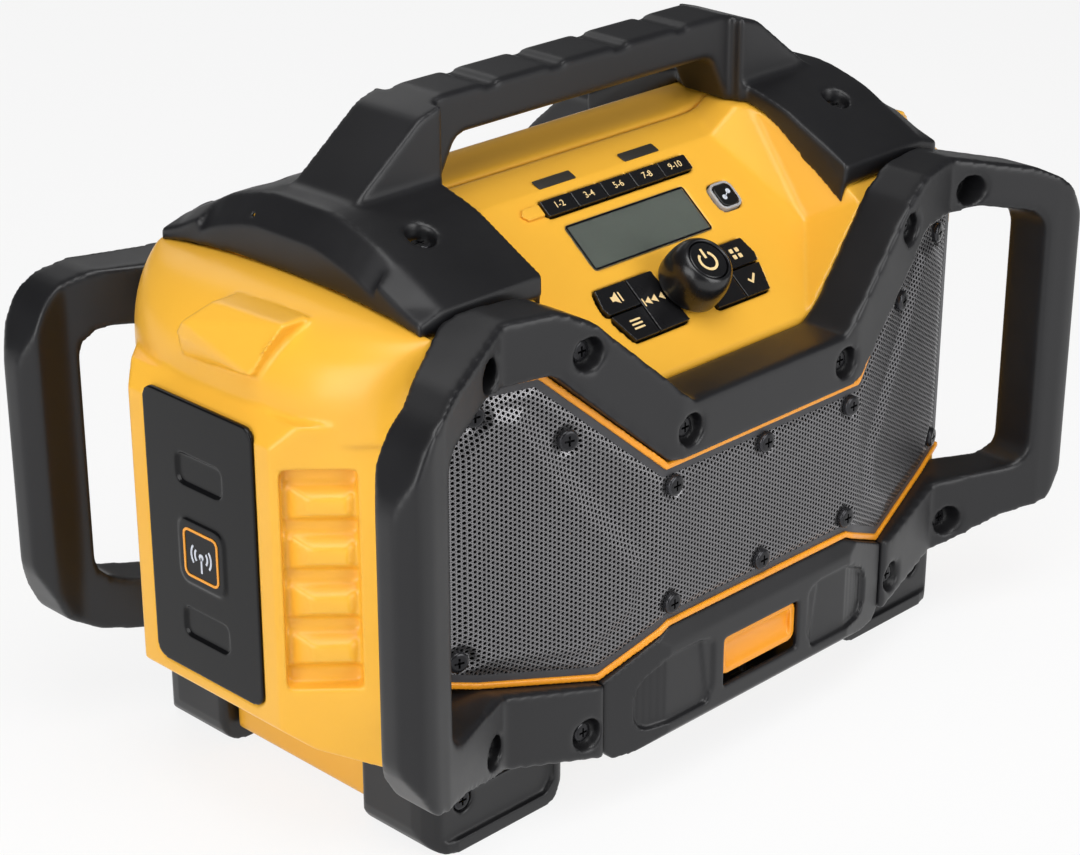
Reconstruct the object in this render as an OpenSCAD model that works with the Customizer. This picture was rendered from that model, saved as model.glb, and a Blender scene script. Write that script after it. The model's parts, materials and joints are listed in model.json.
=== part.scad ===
// Jobsite radio in a roll cage: origin on the ground under the middle of the body,
// X to the right, Y to the back, Z up. All sizes are in millimetres.

/* [Overall] */
// Width of the middle housing, between the side pods
body_w = 322; // [268:1:390]
// Depth between the middle faces of the front and rear frames
body_d = 246; // [205:1:300]
// Height of the shoulder crest above the ground
body_h = 267; // [223:1:325]

/* [Roll cage] */
// Width of a grab loop's upright bar, seen from the front
bar_w = 27; // [22:0.5:34]
// Depth of a grab loop's upright bar
bar_d = 24; // [20:0.5:30]
// Distance from the housing side to the outer face of the upright bar
loop_reach = 60; // [52:1:72]
// Distance that the upright bar stands forward of the frame's middle face
loop_flare = 8.5; // [5:0.5:14]
// Thickness of the frame rails, front to back
rail_d = 26; // [22:0.5:32]
// Height of the frame's upper rail in the middle
rail_h = 25; // [20:0.5:32]
// Half width of the level stretch under the console
notch_half = 50; // [40:1:60]

/* [Handle] */
// Height of the grip above the shoulder crest
grip_rise = 33; // [26:1:50]
// Height of the grip bar's section
grip_h = 19; // [15:0.5:26]
// Depth of the grip bar's section
grip_d = 28; // [22:1:34]
// Half width of the level part of the grip
grip_half = 88; // [70:1:100]
// Half distance between the front and rear handle screws
handle_screw_y = 45.8; // [36:0.1:55]
// Distance of the handle screws from the middle
handle_screw_x = 132; // [118:0.5:140]

/* [Housing] */
// Wall of the yellow mouldings
wall = 3; // [2.4:0.1:3.6]
// Gap between neighbouring mouldings
gap = 0.3; // [0.2:0.05:0.4]
// Angle of the control panel above level
panel_tilt = 38.87; // [36:0.1:41]
// Depth of a side pod, from the housing side to its outer face
pod_reach = 53; // [44:1:56]

/* [Grille] */
// Thickness of the grille's sheet
sheet = 1; // [0.8:0.1:1.5]
// Width of the bead between the frame and the grille
bead = 3.5; // [2.5:0.1:4.5]
// Half width of the grille's flat middle
grille_flat_half = 65; // [55:1:72]
// Half width of the window's lower part in the middle of its upper edge
window_notch_half = 62.5; // [56:0.5:70]

/* [Controls] */
// Diameter of the tuning knob
knob_d = 30.5; // [28:0.5:38]
// Height of the tuning knob
knob_h = 20; // [16:0.5:24]
// Diameter of the power button in the knob
power_d = 19; // [14:0.5:22]
// Width of the display window
lcd_w = 76; // [66:0.5:84]
// Height of the display window
lcd_h = 24.5; // [20:0.5:28]
// Height of a key above the panel
key_rise = 1.4; // [1:0.1:2]

/* [Door] */
// Half width of the front door
door_half = 94.3; // [84:0.1:96]
// Height of the door's lower edge
door_low = 26; // [24:0.5:30]
// Width of the latch
latch_w = 50; // [40:1:60]
// Height of the latch
latch_h = 19; // [16:0.5:22]
// Travel of the latch
latch_travel = 4; // [3:0.5:5]
// Diameter of the door's hinge pins
hinge_d = 3; // [2.5:0.1:3.6]

/* [Speakers] */
// Outer diameter of a woofer's basket
woofer_d = 76; // [62:1:80]
// Distance of a woofer's axis from the middle
woofer_x = 116; // [112:1:118]

/* [Battery bay] */
// Width of the battery bay
bay_w = 110; // [90:1:130]
// Depth of the battery bay
bay_d = 44; // [36:1:56]

/* [Screws] */
// Diameter of a pan head
head_d = 9.5; // [8:0.1:11]
// Height of a pan head
head_h = 2.8; // [2.2:0.1:3.4]
// Diameter of a screw's shank
shank_d = 3.9; // [3.4:0.1:4.4]
// Diameter of a frame screw's counterbore
counterbore_d = 14; // [12:0.5:16]

/* [Hidden] */
$fn = 48;

yellow = "#FBB52C";
black = "#232326";
gloss_black = "#101012";
steel = "#8A8A88";
orange = "#F59B27";
board_green = "#2F6B3F";

W = body_w / 2;
D = body_d / 2;
H = body_h;
far = 400;

// ---- Outline helpers -------------------------------------------------------

function unit(v) = v / norm(v);
function side_of(a, b) = let (u = unit(b - a)) [u[1], -u[0]];
function flat(p) = [p[0], p[1]];

// A closed outline grown outward (counter-clockwise points) by d, with sharp corners
function grow(pts, d) = [
    for (i = [0 : len(pts) - 1])
    let (
        n = len(pts),
        n1 = side_of(pts[(i + n - 1) % n], pts[i]),
        n2 = side_of(pts[i], pts[(i + 1) % n])
    )
    pts[i] + d * (n1 + n2) / (1 + n1 * n2)
];

// The arc that rounds corner b between a and c, with steps pieces
function corner(a, b, c, r, steps) = r <= 0 ? [b] : let (
    u1 = unit(a - b),
    u2 = unit(c - b),
    angle = acos(max(-1, min(1, u1 * u2))),
    turn = 180 - angle
) turn < 1 ? [b] : let (
    centre = b + unit(u1 + u2) * r / sin(angle / 2),
    d1 = b + u1 * r / tan(angle / 2) - centre,
    d2 = b + u2 * r / tan(angle / 2) - centre
) [
    for (k = [0 : steps])
    centre + (sin((1 - k / steps) * turn) * d1 + sin(k / steps * turn) * d2) / sin(turn)
];

// A closed outline whose points are [x, y, corner radius]
function rounded(pts, steps = 4) = [
    for (i = [0 : len(pts) - 1])
    let (n = len(pts))
    each corner(flat(pts[(i + n - 1) % n]), flat(pts[i]), flat(pts[(i + 1) % n]), pts[i][2], steps)
];

// The right half of an outline, from the bottom middle to the top middle, and its mirror image
function both(half) = concat(half, [
    for (i = [len(half) - 1 : -1 : 0])
    if (half[i][0] > 0)
    [-half[i][0], for (k = [1 : len(half[i]) - 1]) half[i][k]]
]);

// An open line moved sideways by d, to the left of its direction
function shifted(line, d) = [
    for (i = [0 : len(line) - 1])
    let (
        n1 = i > 0 ? side_of(line[i - 1], line[i]) : side_of(line[0], line[1]),
        n2 = i < len(line) - 1 ? side_of(line[i], line[i + 1]) : n1
    )
    line[i] - d * (n1 + n2) / (1 + n1 * n2)
];
// An open line whose inner corners are rounded with radius r
function eased(line, r) = concat(
    [line[0]],
    [for (i = [1 : len(line) - 2]) each corner(line[i - 1], line[i], line[i + 1], r, 3)],
    [line[len(line) - 1]]
);
function reversed(list) = [for (i = [len(list) - 1 : -1 : 0]) list[i]];
function strip(line, d) = concat(line, reversed(shifted(line, d)));

function box_outline(x0, y0, x1, y1, r = 0) =
    rounded([[x0, y0, r], [x1, y0, r], [x1, y1, r], [x0, y1, r]]);

module prism_x(pts, x0, x1) {
    translate([x0, 0, 0]) rotate([90, 0, 90]) linear_extrude(x1 - x0) polygon(pts);
}
module prism_y(pts, y0, y1) {
    translate([0, y1, 0]) rotate([90, 0, 0]) linear_extrude(y1 - y0) polygon(pts);
}
module prism_z(pts, z0, z1) {
    translate([0, 0, z0]) linear_extrude(z1 - z0) polygon(pts);
}
module block(low, high) {
    translate(low) cube(high - low);
}
module both_sides() {
    children();
    mirror([1, 0, 0]) children();
}
// One side's copy: side is 1 on the right and -1 on the left
module on_side(side) {
    mirror([side < 0 ? 1 : 0, 0, 0]) children();
}
module rod_y(x, z, d, y0, y1) {
    translate([x, y1, z]) rotate([90, 0, 0]) cylinder(d = d, h = y1 - y0);
}
module rod_x(y, z, d, x0, x1) {
    translate([x0, y, z]) rotate([0, 90, 0]) cylinder(d = d, h = x1 - x0);
}

// ---- Plan lines (seen from above, front side, right half) ------------------

knee_x = W - 57;
wing_x = W - 16;
edge_x = W + 9;
bar_out = W + loop_reach;
bar_in = bar_out - bar_w;
bar_front = D + loop_flare;
bar_back = bar_front - bar_d;
bar_soft = 7;
knee_drop = 8;
wing_drop = 17;

// Front face of a frame, as distance from the middle plane
frame_front = [[0, D], [notch_half + 8, D], [knee_x, D - knee_drop], [wing_x, D - wing_drop]];
// Back face of a frame
rail_back = D - rail_d;
frame_back = [[0, rail_back], [notch_half + 10, rail_back], [knee_x, rail_back - 9], [W - 6, rail_back - 16]];

function to_front(line) = [for (p = line) [p[0], -p[1]]];

frame_plan_half = concat(
    to_front(frame_front),
    [
        [bar_in + 4, -(bar_front - 2.5)], [bar_in + 13, -bar_front], [bar_out - bar_soft, -bar_front],
        [bar_out, -(bar_front - bar_soft)], [bar_out, -(bar_back + bar_soft)],
        [bar_out - bar_soft, -bar_back], [bar_in + 6, -bar_back]
    ],
    reversed(to_front(frame_back))
);

// Distance of the grille's outer surface from the middle plane, less an offset
grille_mid = D - 4;
grille_edge = D - 35;
function grille_line(inset) = [[grille_flat_half, grille_mid - inset], [edge_x, grille_edge - inset]];

// Plan of the housing, behind the frames
function housing_plan(side_x) = let (f = [
    [notch_half + 10, rail_back - gap],
    [knee_x, rail_back - 9 - gap],
    [side_x, rail_back - 16 - gap - (side_x - W + 6) * 0.15]
]) concat(
    [for (p = f) [p[0], -p[1]]],
    [for (p = reversed(f)) [p[0], p[1]]],
    [for (p = f) [-p[0], p[1]]],
    [for (p = reversed(f)) [-p[0], -p[1]]]
);

// ---- Side profiles (seen from the side, as [y, z]) -------------------------

shoulder_end = rail_back - 16.7;
crest_half = 20;
// Top of the shoulders
shoulder_top = eased([
    [-shoulder_end, H - 33], [-50, H - 8.5], [-crest_half, H],
    [crest_half, H], [50, H - 8.5], [shoulder_end, H - 33]
], 60);
// Lower edge of the shoulder covers' outer faces, a shallow arc
skirt_low = [
    [-shoulder_end, H - 35], [-62, H - 31.2], [-32, H - 28.6], [0, H - 27.8],
    [32, H - 28.6], [62, H - 31.2], [shoulder_end, H - 35]
];
function lowered(pts, drop) = [for (p = pts) [p[0], p[1] - drop]];
base_z = 38;
function under(line, z) = concat([[line[0][0], z], [line[len(line) - 1][0], z]], reversed(line));

// Control panel: a plane through this point, tilted back
panel_y = -(rail_back - 42.7);
panel_z = H - 47.1;
panel_low = -(rail_back - gap + panel_y) / cos(panel_tilt) - 2;
panel_high = 43.8;
function panel_point(s) = [panel_y + s * cos(panel_tilt), panel_z + s * sin(panel_tilt)];
crease = panel_point(panel_high);
console_toe = panel_point(panel_low);
crest_back = [22, H - 8];
heel = [rail_back + 1, H - 55];
// Top of the yellow housing in the middle, and beside the console
console_top = [console_toe, crease, crest_back, heel];
cheek_top = [
    [-(rail_back + 1), H - 48], [-(rail_back - 12), H - 40.5], [-50, H - 18],
    [-crest_half, H - 9], crest_back, heel
];

module on_panel(x = 0, s = 0, lift = 0) {
    translate([x, panel_y, panel_z]) rotate([panel_tilt, 0, 0]) translate([0, s, lift]) children();
}

// ---- Front outlines (seen from the front, as [x, z]) -----------------------

// Lower edge of the frame's window: over the door in the middle, then out along the grille
window_low_mid = 81;
window_low_dip = 64.5;
window_low_side = 76;
window_low_edge = 82;
window_low = [
    [-edge_x, window_low_edge], [-(W - 11), window_low_side], [-door_half, window_low_dip],
    [-(door_half - 34.5), window_low_mid], [door_half - 34.5, window_low_mid],
    [door_half, window_low_dip], [W - 11, window_low_side], [edge_x, window_low_edge]
];
// Upper edge of the frame's window
console_low = H - 83;
window_top_mid = console_low - rail_h;
window_top_side = H - 54.5;
window_top = [
    [edge_x, window_top_side - 0.5], [W - 40, window_top_side], [window_notch_half, window_top_mid],
    [-window_notch_half, window_top_mid], [-(W - 40), window_top_side], [-edge_x, window_top_side - 0.5]
];
function grille_outline(inset) = grow(concat(window_low, window_top), -inset);

// The opening inside the front frame: the window and, beyond it, the gap of each grab loop
front_opening = rounded(both([
    [0, window_low_mid, 0], [door_half - 34.5, window_low_mid, 3], [door_half, window_low_dip, 4],
    [W - 11, window_low_side, 8], [bar_in, window_low_side + 2, 10],
    [bar_in, H - 61, 12], [W - 1, H - 53, 4], [W - 14, window_top_side, 4],
    [W - 40, window_top_side, 10], [window_notch_half, window_top_mid, 6], [0, window_top_mid, 0]
]));
front_outer = rounded(both([
    [0, door_low + 3, 0], [door_half, door_low + 3, 0], [W - 9, 41, 12], [W + 20, 51, 10],
    [bar_out - 14, 55, 10], [bar_out, 78, 18],
    [bar_out, H - 76, 26], [bar_out - 14, H - 48, 26], [bar_in - 6, H - 38, 18],
    [W - 18, H - 27, 14], [knee_x + 14, H - 28, 10], [knee_x - 2, H - 36, 12],
    [notch_half, console_low, 6], [0, console_low, 0]
]));
door_outline = both([
    [0, door_low], [door_half - 5, door_low], [door_half, door_low + 5],
    [door_half, window_low_dip - gap], [door_half - 34.5, window_low_mid - gap], [0, window_low_mid - gap]
]);

rear_opening = rounded(both([
    [0, 60, 0], [W - 66, 60, 8], [W - 6, 66, 6], [bar_in, 72, 12],
    [bar_in, H - 74, 12], [W - 14, H - 76, 8], [W - 66, H - 83, 10], [0, H - 83, 0]
]));
rear_outer = rounded(both([
    [0, 30, 0], [W - 66, 30, 10], [W - 9, 41, 12], [bar_in, 46, 12], [bar_out - 12, 55, 14], [bar_out, 82, 20],
    [bar_out, H - 84, 26], [bar_out - 14, H - 56, 26], [bar_in - 6, H - 48, 14],
    [W - 18, H - 46, 10], [W - 36, H - 37, 8], [knee_x + 10, H - 36, 8], [knee_x - 18, H - 53, 8],
    [0, H - 53, 0]
]));

// ---- Screws ----------------------------------------------------------------

// Front frame screws: [x, z, distance of the head's face from the middle plane]
frame_screw_half = [
    [notch_half + 1.1, H - 96.2, D - 4.4],
    [knee_x + 0.3, H - 49.2, D - 13.4],
    [W - 5.5, H - 44.7, D - 22.7],
    [W - 6.9, 53.9, D - 19.2],
    [door_half + 9.5, 43.5, D - 11.6]
];
frame_shank = 24;
grille_screw_half = [
    [W - 10.8, H - 67.5], [knee_x + 5.2, H - 87], [window_notch_half - 3.8, H - 119.6],
    [window_notch_half - 3.8, 92], [W - 2.7, 91.7], [0, 91.9], [0, H - 118.6]
];
grille_shank = 8;
foot_screw_x = W - 7.5;
foot_screw_z = 22;
rear_screw_half = [[W - 6, H - 58], [knee_x, H - 55], [W - 9, 54], [knee_x, 46]];
recess_d = 4.4;
recess_h = 1.6;

// A pan-head screw: its head's face is at the origin and its shank runs along -Z
module pan_screw(shank) {
    difference() {
        union() {
            translate([0, 0, -head_h]) cylinder(d = head_d, h = head_h - 0.8);
            translate([0, 0, -0.8]) cylinder(d1 = head_d, d2 = head_d - 2, h = 0.8);
            translate([0, 0, -head_h - shank]) cylinder(d = shank_d, h = shank + 0.5);
        }
        translate([0, 0, -recess_h]) cylinder(d = recess_d, h = far, $fn = 6);
    }
}
// The space that a screw needs: a counterbore above its head and a hole round its shank
module screw_space(width, shank) {
    translate([0, 0, -head_h - 0.02]) cylinder(d = width, h = 60);
    translate([0, 0, -head_h - shank - 1]) cylinder(d = shank_d + 0.1, h = shank + 3);
}
module facing_front(x, z, y) {
    translate([x, -y, z]) rotate([90, 0, 0]) children();
}
module facing_back(x, z, y) {
    translate([x, y, z]) rotate([-90, 0, 0]) children();
}
module at_frame_screws() {
    both_sides() for (p = frame_screw_half) facing_front(p[0], p[1], p[2]) children();
}
function grille_face(x) = lookup(x, [[0, grille_mid], [grille_flat_half, grille_mid], [edge_x, grille_edge]]);
wing_turn = atan2(grille_mid - grille_edge, edge_x - grille_flat_half);
module at_grille_screws() {
    for (p = grille_screw_half, s = p[0] > 0 ? [-1, 1] : [1])
        translate([s * p[0], -grille_face(p[0]), p[1]])
            rotate([90, 0, p[0] > grille_flat_half ? s * wing_turn : 0])
                translate([0, 0, head_h + 0.05]) children();
}
module at_handle_screws() {
    for (sx = [-1, 1], sy = [-1, 1])
        translate([sx * handle_screw_x, sy * handle_screw_y, H - 12]) children();
}
module at_foot_screws() {
    for (sx = [-1, 1]) {
        facing_front(sx * foot_screw_x, foot_screw_z, foot_face - 3) children();
        facing_back(sx * foot_screw_x, foot_screw_z, foot_face - 3) children();
    }
}
module at_rear_screws() {
    both_sides() for (p = rear_screw_half)
        facing_back(p[0], p[1], lookup(p[0], frame_front) - 5) children();
}
handle_shank = 20;
rear_shank = 24;
foot_shank = 14;

// ---- Housing ---------------------------------------------------------------

// The hollow above the control panel, between the yellow cheeks
module console_hollow() {
    toe = panel_point(panel_low - 2);
    waist = panel_point(-12);
    lip_x = W - 64;
    hull() {
        for (s = [-1, 1]) {
            translate([s * notch_half, toe[0], toe[1]]) cube(0.01);
            translate([s * (knee_x + 1), toe[0], console_low + 48]) cube(0.01);
            translate([s * (lip_x - 6), waist[0], waist[1]]) cube(0.01);
            translate([s * (lip_x + 5), waist[0], H - 12]) cube(0.01);
            translate([s * (lip_x - 24), crease[0], crease[1]]) cube(0.01);
            translate([s * lip_x, crease[0], H - 5]) cube(0.01);
        }
    }
    hull() {
        for (s = [-1, 1]) {
            translate([s * (lip_x - 24), crease[0], crease[1]]) cube(0.01);
            translate([s * lip_x, crease[0], H - 5]) cube(0.01);
            translate([s * (lip_x - 24), crest_back[0], H - 7]) cube(0.01);
            translate([s * lip_x, crest_back[0], H - 5]) cube(0.01);
        }
    }
}

key_depth = 5;
pocket_gap = 0.4;
module key_pocket(outline) {
    prism_z(grow(outline, pocket_gap), -key_depth - 6, far / 10);
}

// Key outlines on the panel, as [x, s]
preset_low = 30.5;
preset_h = 8;
preset_left = -43;
preset_pitch = 18.6;
function preset_outline(i) = let (x = preset_left + i * preset_pitch)
    box_outline(x + 0.2, preset_low, x + preset_pitch - 0.2, preset_low + preset_h, 0.6);
key_split_x = 28;
key_split_s = -22.5;
key_slot = 0.6;
key_top_outline = [
    [key_split_x + key_slot, key_split_s + key_slot], [48.2, key_split_s + key_slot],
    [49.4, -18.1], [47.3, -9], [key_split_x + key_slot, -9]
];
key_low_outline = [
    [key_split_x + key_slot, -36.8], [43.6, -36.8], [48, key_split_s - key_slot],
    [key_split_x + key_slot, key_split_s - key_slot]
];
key_mid_outline = [[9.5, -36.6], [key_split_x, -36.8], [key_split_x, -9], [12, -9]];
function flipped(pts) = reversed([for (p = pts) [-p[0], p[1]]]);
pairing_x = 57;
pairing_s = 13;
pairing_w = 11;
pairing_outline = box_outline(
    pairing_x - pairing_w / 2, pairing_s - pairing_w / 2,
    pairing_x + pairing_w / 2, pairing_s + pairing_w / 2, 2.5);
ring_w = 1.6;
knob_s = -22;

function key_outlines() = concat(
    [for (i = [0 : 4]) preset_outline(i)],
    [key_top_outline, key_mid_outline, key_low_outline],
    [flipped(key_top_outline), flipped(key_mid_outline), flipped(key_low_outline)]
);

speaker_z = H - 131;
module baffle_solid(inset, depth) {
    line = grille_line(sheet + gap + depth);
    intersection() {
        prism_y(grille_outline(bead + gap + inset), -far, -(rail_back - 20));
        prism_z(both([
            [0, -line[0][1]], [line[0][0], -line[0][1]],
            [W - inset, -lookup(W - inset, line)], [W - inset, -(rail_back - 20)], [0, -(rail_back - 20)]
        ]), 0, far);
    }
}
box_half = 78;
box_low = 42;
box_high = 74;
box_mouth = D - 15;
box_back = D - 60;

module front_housing() {
    color(yellow) difference() {
        union() {
            difference() {
                intersection() {
                    prism_x(under(cheek_top, base_z), -W, W);
                    prism_z(housing_plan(W), 0, far);
                    block([-far, -far, 0], [far, -gap / 2, far]);
                }
                console_hollow();
            }
            baffle_solid(0, 0);
        }
        intersection() {
            prism_x(under(lowered(console_top, wall), base_z + wall), -(W - wall), W - wall);
            prism_z(grow(housing_plan(W), -wall), 0, far);
        }
        baffle_solid(wall, wall);
        both_sides() rod_y(woofer_x, speaker_z, woofer_d - 10, -far, -(rail_back - 20));
        block([-(box_half + gap), -far, box_low - gap], [box_half + gap, -(rail_back - 20), box_high + gap]);
        on_panel() {
            for (o = key_outlines()) key_pocket(o);
            key_pocket(grow(pairing_outline, ring_w));
            key_pocket(box_outline(-lcd_w / 2 + 1.5, 1.5, lcd_w / 2 - 1.5, lcd_h - 1.5));
            translate([0, 0, -1.6]) prism_z(box_outline(-lcd_w / 2 - gap, -gap, lcd_w / 2 + gap, lcd_h + gap), 0, 60);
            translate([0, knob_s, -20]) cylinder(d = 12, h = 60);
        }
        at_frame_screws() screw_space(counterbore_d, frame_shank);
        at_grille_screws() screw_space(head_d + 1, grille_shank);
        at_handle_screws() screw_space(head_d + 1, handle_shank);
    }
}

bay_low = 66;
bay_high = H - 92;
bay_half = bay_w / 2;
inlet_x = W - 45;
inlet_z = 90;
inlet_w = 30;
inlet_h = 22;
module rear_housing() {
    color(yellow) difference() {
        intersection() {
            prism_x(under(cheek_top, base_z), -W, W);
            prism_z(housing_plan(W), 0, far);
            block([-far, gap / 2, 0], [far, far, far]);
        }
        console_hollow();
        intersection() {
            prism_x(under(lowered(console_top, wall), base_z + wall), -(W - wall), W - wall);
            prism_z(grow(housing_plan(W), -wall), 0, far);
        }
        block([-(bay_half + gap), rail_back - 20, bay_low - gap], [bay_half + gap, far, bay_high + gap]);
        block([inlet_x - inlet_w / 2 - gap, rail_back - 40, inlet_z - inlet_h / 2 - gap],
              [inlet_x + inlet_w / 2 + gap, far, inlet_z + inlet_h / 2 + gap]);
        at_rear_screws() screw_space(head_d + 1, rear_shank);
        at_handle_screws() screw_space(head_d + 1, handle_shank);
    }
}

foot_face = D - 31;
foot_back = D - 77;
foot_top = 28;
tub_low = 8;
tub_flange = D - 39;
module bottom_tub() {
    inner = foot_back - 1;
    color(yellow) difference() {
        prism_x([
            [-inner, tub_low], [inner, tub_low], [inner, foot_top + gap], [tub_flange, foot_top + gap],
            [tub_flange, base_z - gap], [-tub_flange, base_z - gap], [-tub_flange, foot_top + gap], [-inner, foot_top + gap]
        ], -(W + 5), W + 5);
        prism_x([
            [-(inner - wall), tub_low + wall], [inner - wall, tub_low + wall],
            [inner - wall, far], [-(inner - wall), far]
        ], -(W + 5 - wall), W + 5 - wall);
        at_foot_screws() screw_space(1, foot_shank);
    }
}

// ---- Side pods -------------------------------------------------------------

pod_out = W + pod_reach;
pod_flat = rail_back - 52;
pod_start = W + gap;
pod_nose = grille_edge - sheet - gap;
vent_low = 82;
vent_high = H - 87;
panel_half_y = 34.8;
panel_low_z = 69;
panel_high_z = H - 72;
panel_t = 2;
waist_z = H - 68;

function pod_plan(inset) = [
    [pod_start + inset, -(pod_nose - 2 - inset)], [edge_x, -(pod_nose - 1.6 * inset)],
    [pod_out - inset, -pod_flat], [pod_out - inset, pod_flat],
    [edge_x, pod_nose - 1.6 * inset], [pod_start + inset, pod_nose - 2 - inset]
];
function upper_pod_plan(inset) = [
    [pod_start + inset, -(pod_nose - 3 - inset)], [edge_x + 12, -(pod_flat + 19 - inset)],
    [pod_out - 9 - inset, -(pod_flat - 12)], [pod_out - 9 - inset, pod_flat - 12],
    [edge_x + 12, pod_flat + 19 - inset], [pod_start + inset, pod_nose - 3 - inset]
];
function pod_front(inset) = [
    [pod_start + inset, base_z + inset], [edge_x, base_z + inset], [pod_out - 11, 53 + inset],
    [pod_out - inset, 63], [pod_out - inset, waist_z - 9], [pod_out - 8, waist_z - inset],
    [pod_start + inset, waist_z - inset]
];
function upper_pod_front(inset) = [
    [pod_start + inset, waist_z - 12],
    each eased([
        [pod_out - 9 - inset, waist_z - 12], [pod_out - 9 - inset, H - 40 - inset],
        [edge_x + 10 - inset, H - 27 - inset], [pod_start + inset, H - 27 - inset]
    ], 12)
];
pod_top = concat([[-pod_nose, H - 43]], lowered(skirt_low, gap), [[pod_nose, H - 43]]);
// A raised wedge on the outer face of the upper pod, seen from the side and from the front
wedge_side = [[19, H - 57], [18, H - 47], [5, H - 33], [-38, H - 32], [-27, H - 54]];
wedge_front = [
    [edge_x, H - 66], [pod_out - 9, H - 60], [pod_out - 5.5, H - 52], [pod_out - 5.5, H - 41],
    [pod_out - 17, H - 31], [edge_x, H - 28]
];

// The roof's fall towards the outer front corner of the upper pod
module pod_corner(inset) {
    translate([pod_out - 9, -(pod_flat - 12), 0]) rotate([0, 0, 38]) prism_x([
        [-40, 0], [far, 0], [far, H], [50, H - 18 - inset], [27, H - 27 - inset], [8, H - 41 - inset], [-40, H - 80 - inset]
    ], -far, far);
}
module pod_form(inset) {
    intersection() {
        prism_z(pod_plan(inset), 0, far);
        prism_y(pod_front(inset), -far, far);
    }
    intersection() {
        prism_z(upper_pod_plan(inset), 0, far);
        prism_y(upper_pod_front(inset), -far, far);
        prism_x(under(lowered(pod_top, inset), 0), 0, far);
        pod_corner(inset);
        mirror([0, 1, 0]) pod_corner(inset);
    }
}

// A vent window across a chamfer of the pod, in the chamfer's own axes: X along it, Y into the pod
vent_turn = atan2(pod_nose - pod_flat, pod_out - edge_x);
vent_mid = 0.69;
vent_half = 15.5;
vent_depth = 7;
module on_chamfer(front) {
    mirror([0, front ? 0 : 1, 0])
        translate([
            edge_x + (pod_out - edge_x) * vent_mid,
            -(pod_nose + (pod_flat - pod_nose) * vent_mid), 0
        ]) rotate([0, 0, vent_turn]) children();
}
rib_count = 4;
rib_h = 12;
rib_slope = 2.4;
module vent_cut() {
    on_chamfer(true) block([-vent_half, -20, vent_low], [vent_half, vent_depth, vent_high]);
    on_chamfer(false) block([-vent_half, -20, vent_low], [vent_half, vent_depth, vent_high]);
}
module vent_rib() {
    root = vent_depth + 0.2;
    tip = 0.4;
    foot_half = rib_h / 2 + rib_slope;
    tip_half = rib_h / 2 - rib_slope;
    intersection() {
        prism_z([[-vent_half + 4, tip], [vent_half - 11, tip], [vent_half + 0.5, root], [-vent_half - 0.5, root]],
                -rib_h, rib_h);
        prism_x([[tip, -tip_half], [root, -foot_half], [root, foot_half], [tip, tip_half]], -far / 10, far / 10);
    }
}
module vent_ribs() {
    slot = (vent_high - vent_low - rib_count * rib_h) / (rib_count + 1);
    for (front = [true, false], i = [0 : rib_count - 1])
        on_chamfer(front) translate([0, 0, vent_low + slot + rib_h / 2 + i * (slot + rib_h)]) vent_rib();
}

module vent_backing() {
    block([-vent_half - 3, 0, vent_low - 3], [vent_half + 3, vent_depth + 3, vent_high + 3]);
}

module pod(side) {
    color(yellow) on_side(side) difference() {
        union() {
            difference() {
                pod_form(0);
                pod_form(wall + 2);
            }
            intersection() {
                pod_form(0);
                union() {
                    on_chamfer(true) vent_backing();
                    on_chamfer(false) vent_backing();
                }
            }
            intersection() {
                prism_x(wedge_side, pod_out - 14, far);
                prism_y(wedge_front, -far, far);
            }
        }
        difference() {
            vent_cut();
            vent_ribs();
        }
        prism_x(box_outline(-panel_half_y - gap, panel_low_z - gap, panel_half_y + gap, panel_high_z + gap, 6),
                pod_out - panel_t - gap, far);
    }
}
module left_pod() {
    pod(-1);
}
module right_pod() {
    pod(1);
}

badge_half = 14.5;
badge_z = H - 140;
module side_panel(side) {
    color(gloss_black) on_side(side) difference() {
        union() {
            prism_x(box_outline(-panel_half_y, panel_low_z, panel_half_y, panel_high_z, 6),
                    pod_out - panel_t, pod_out + 0.6);
            prism_x(box_outline(-badge_half, badge_z - badge_half, badge_half, badge_z + badge_half, 5),
                    pod_out, pod_out + 1.4);
        }
        for (z = [badge_z + 37, badge_z - 34])
            prism_x(box_outline(-badge_half, z - 7, badge_half, z + 7, 4), pod_out - 0.8, far);
    }
}
module left_side_panel() {
    side_panel(-1);
}
module right_side_panel() {
    side_panel(1);
}

// ---- Roll cage -------------------------------------------------------------

module front_frame() {
    color(black) difference() {
        intersection() {
            prism_y(front_outer, -far, 0);
            prism_z(both(frame_plan_half), 0, far);
        }
        prism_y(front_opening, -far, 0);
        prism_y(grow(door_outline, gap + 0.2), -far, 0);
        block([-(door_half + gap), -far, 0], [door_half + gap, 0, window_low_dip]);
        at_frame_screws() screw_space(counterbore_d, frame_shank);
    }
}
module rear_frame() {
    color(black) difference() {
        intersection() {
            prism_y(rear_outer, 0, far);
            mirror([0, 1, 0]) prism_z(both(frame_plan_half), 0, far);
        }
        prism_y(rear_opening, 0, far);
        at_rear_screws() screw_space(head_d + 4, rear_shank);
    }
}

grip_top = H + grip_rise;
grip_low = grip_top - grip_h;
leg_foot = W - 10;
shoulder_in = W - 64;
shoulder_fold = W - 6;
shoulder_out = W + 4.3;
handle_outline = rounded(both([
    [0, grip_low, 0], [grip_half - 8, grip_low, 8], [shoulder_in + 1, H - 20, 0],
    [leg_foot, H - 20, 0], [leg_foot, H - 6, 0], [grip_half + 18, grip_top - 5, 12],
    [grip_half, grip_top, 8], [0, grip_top, 0]
]));
pad_top = 1.6;
groove_x = [-60, -20, 20, 60];
groove_w = 9;

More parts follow.
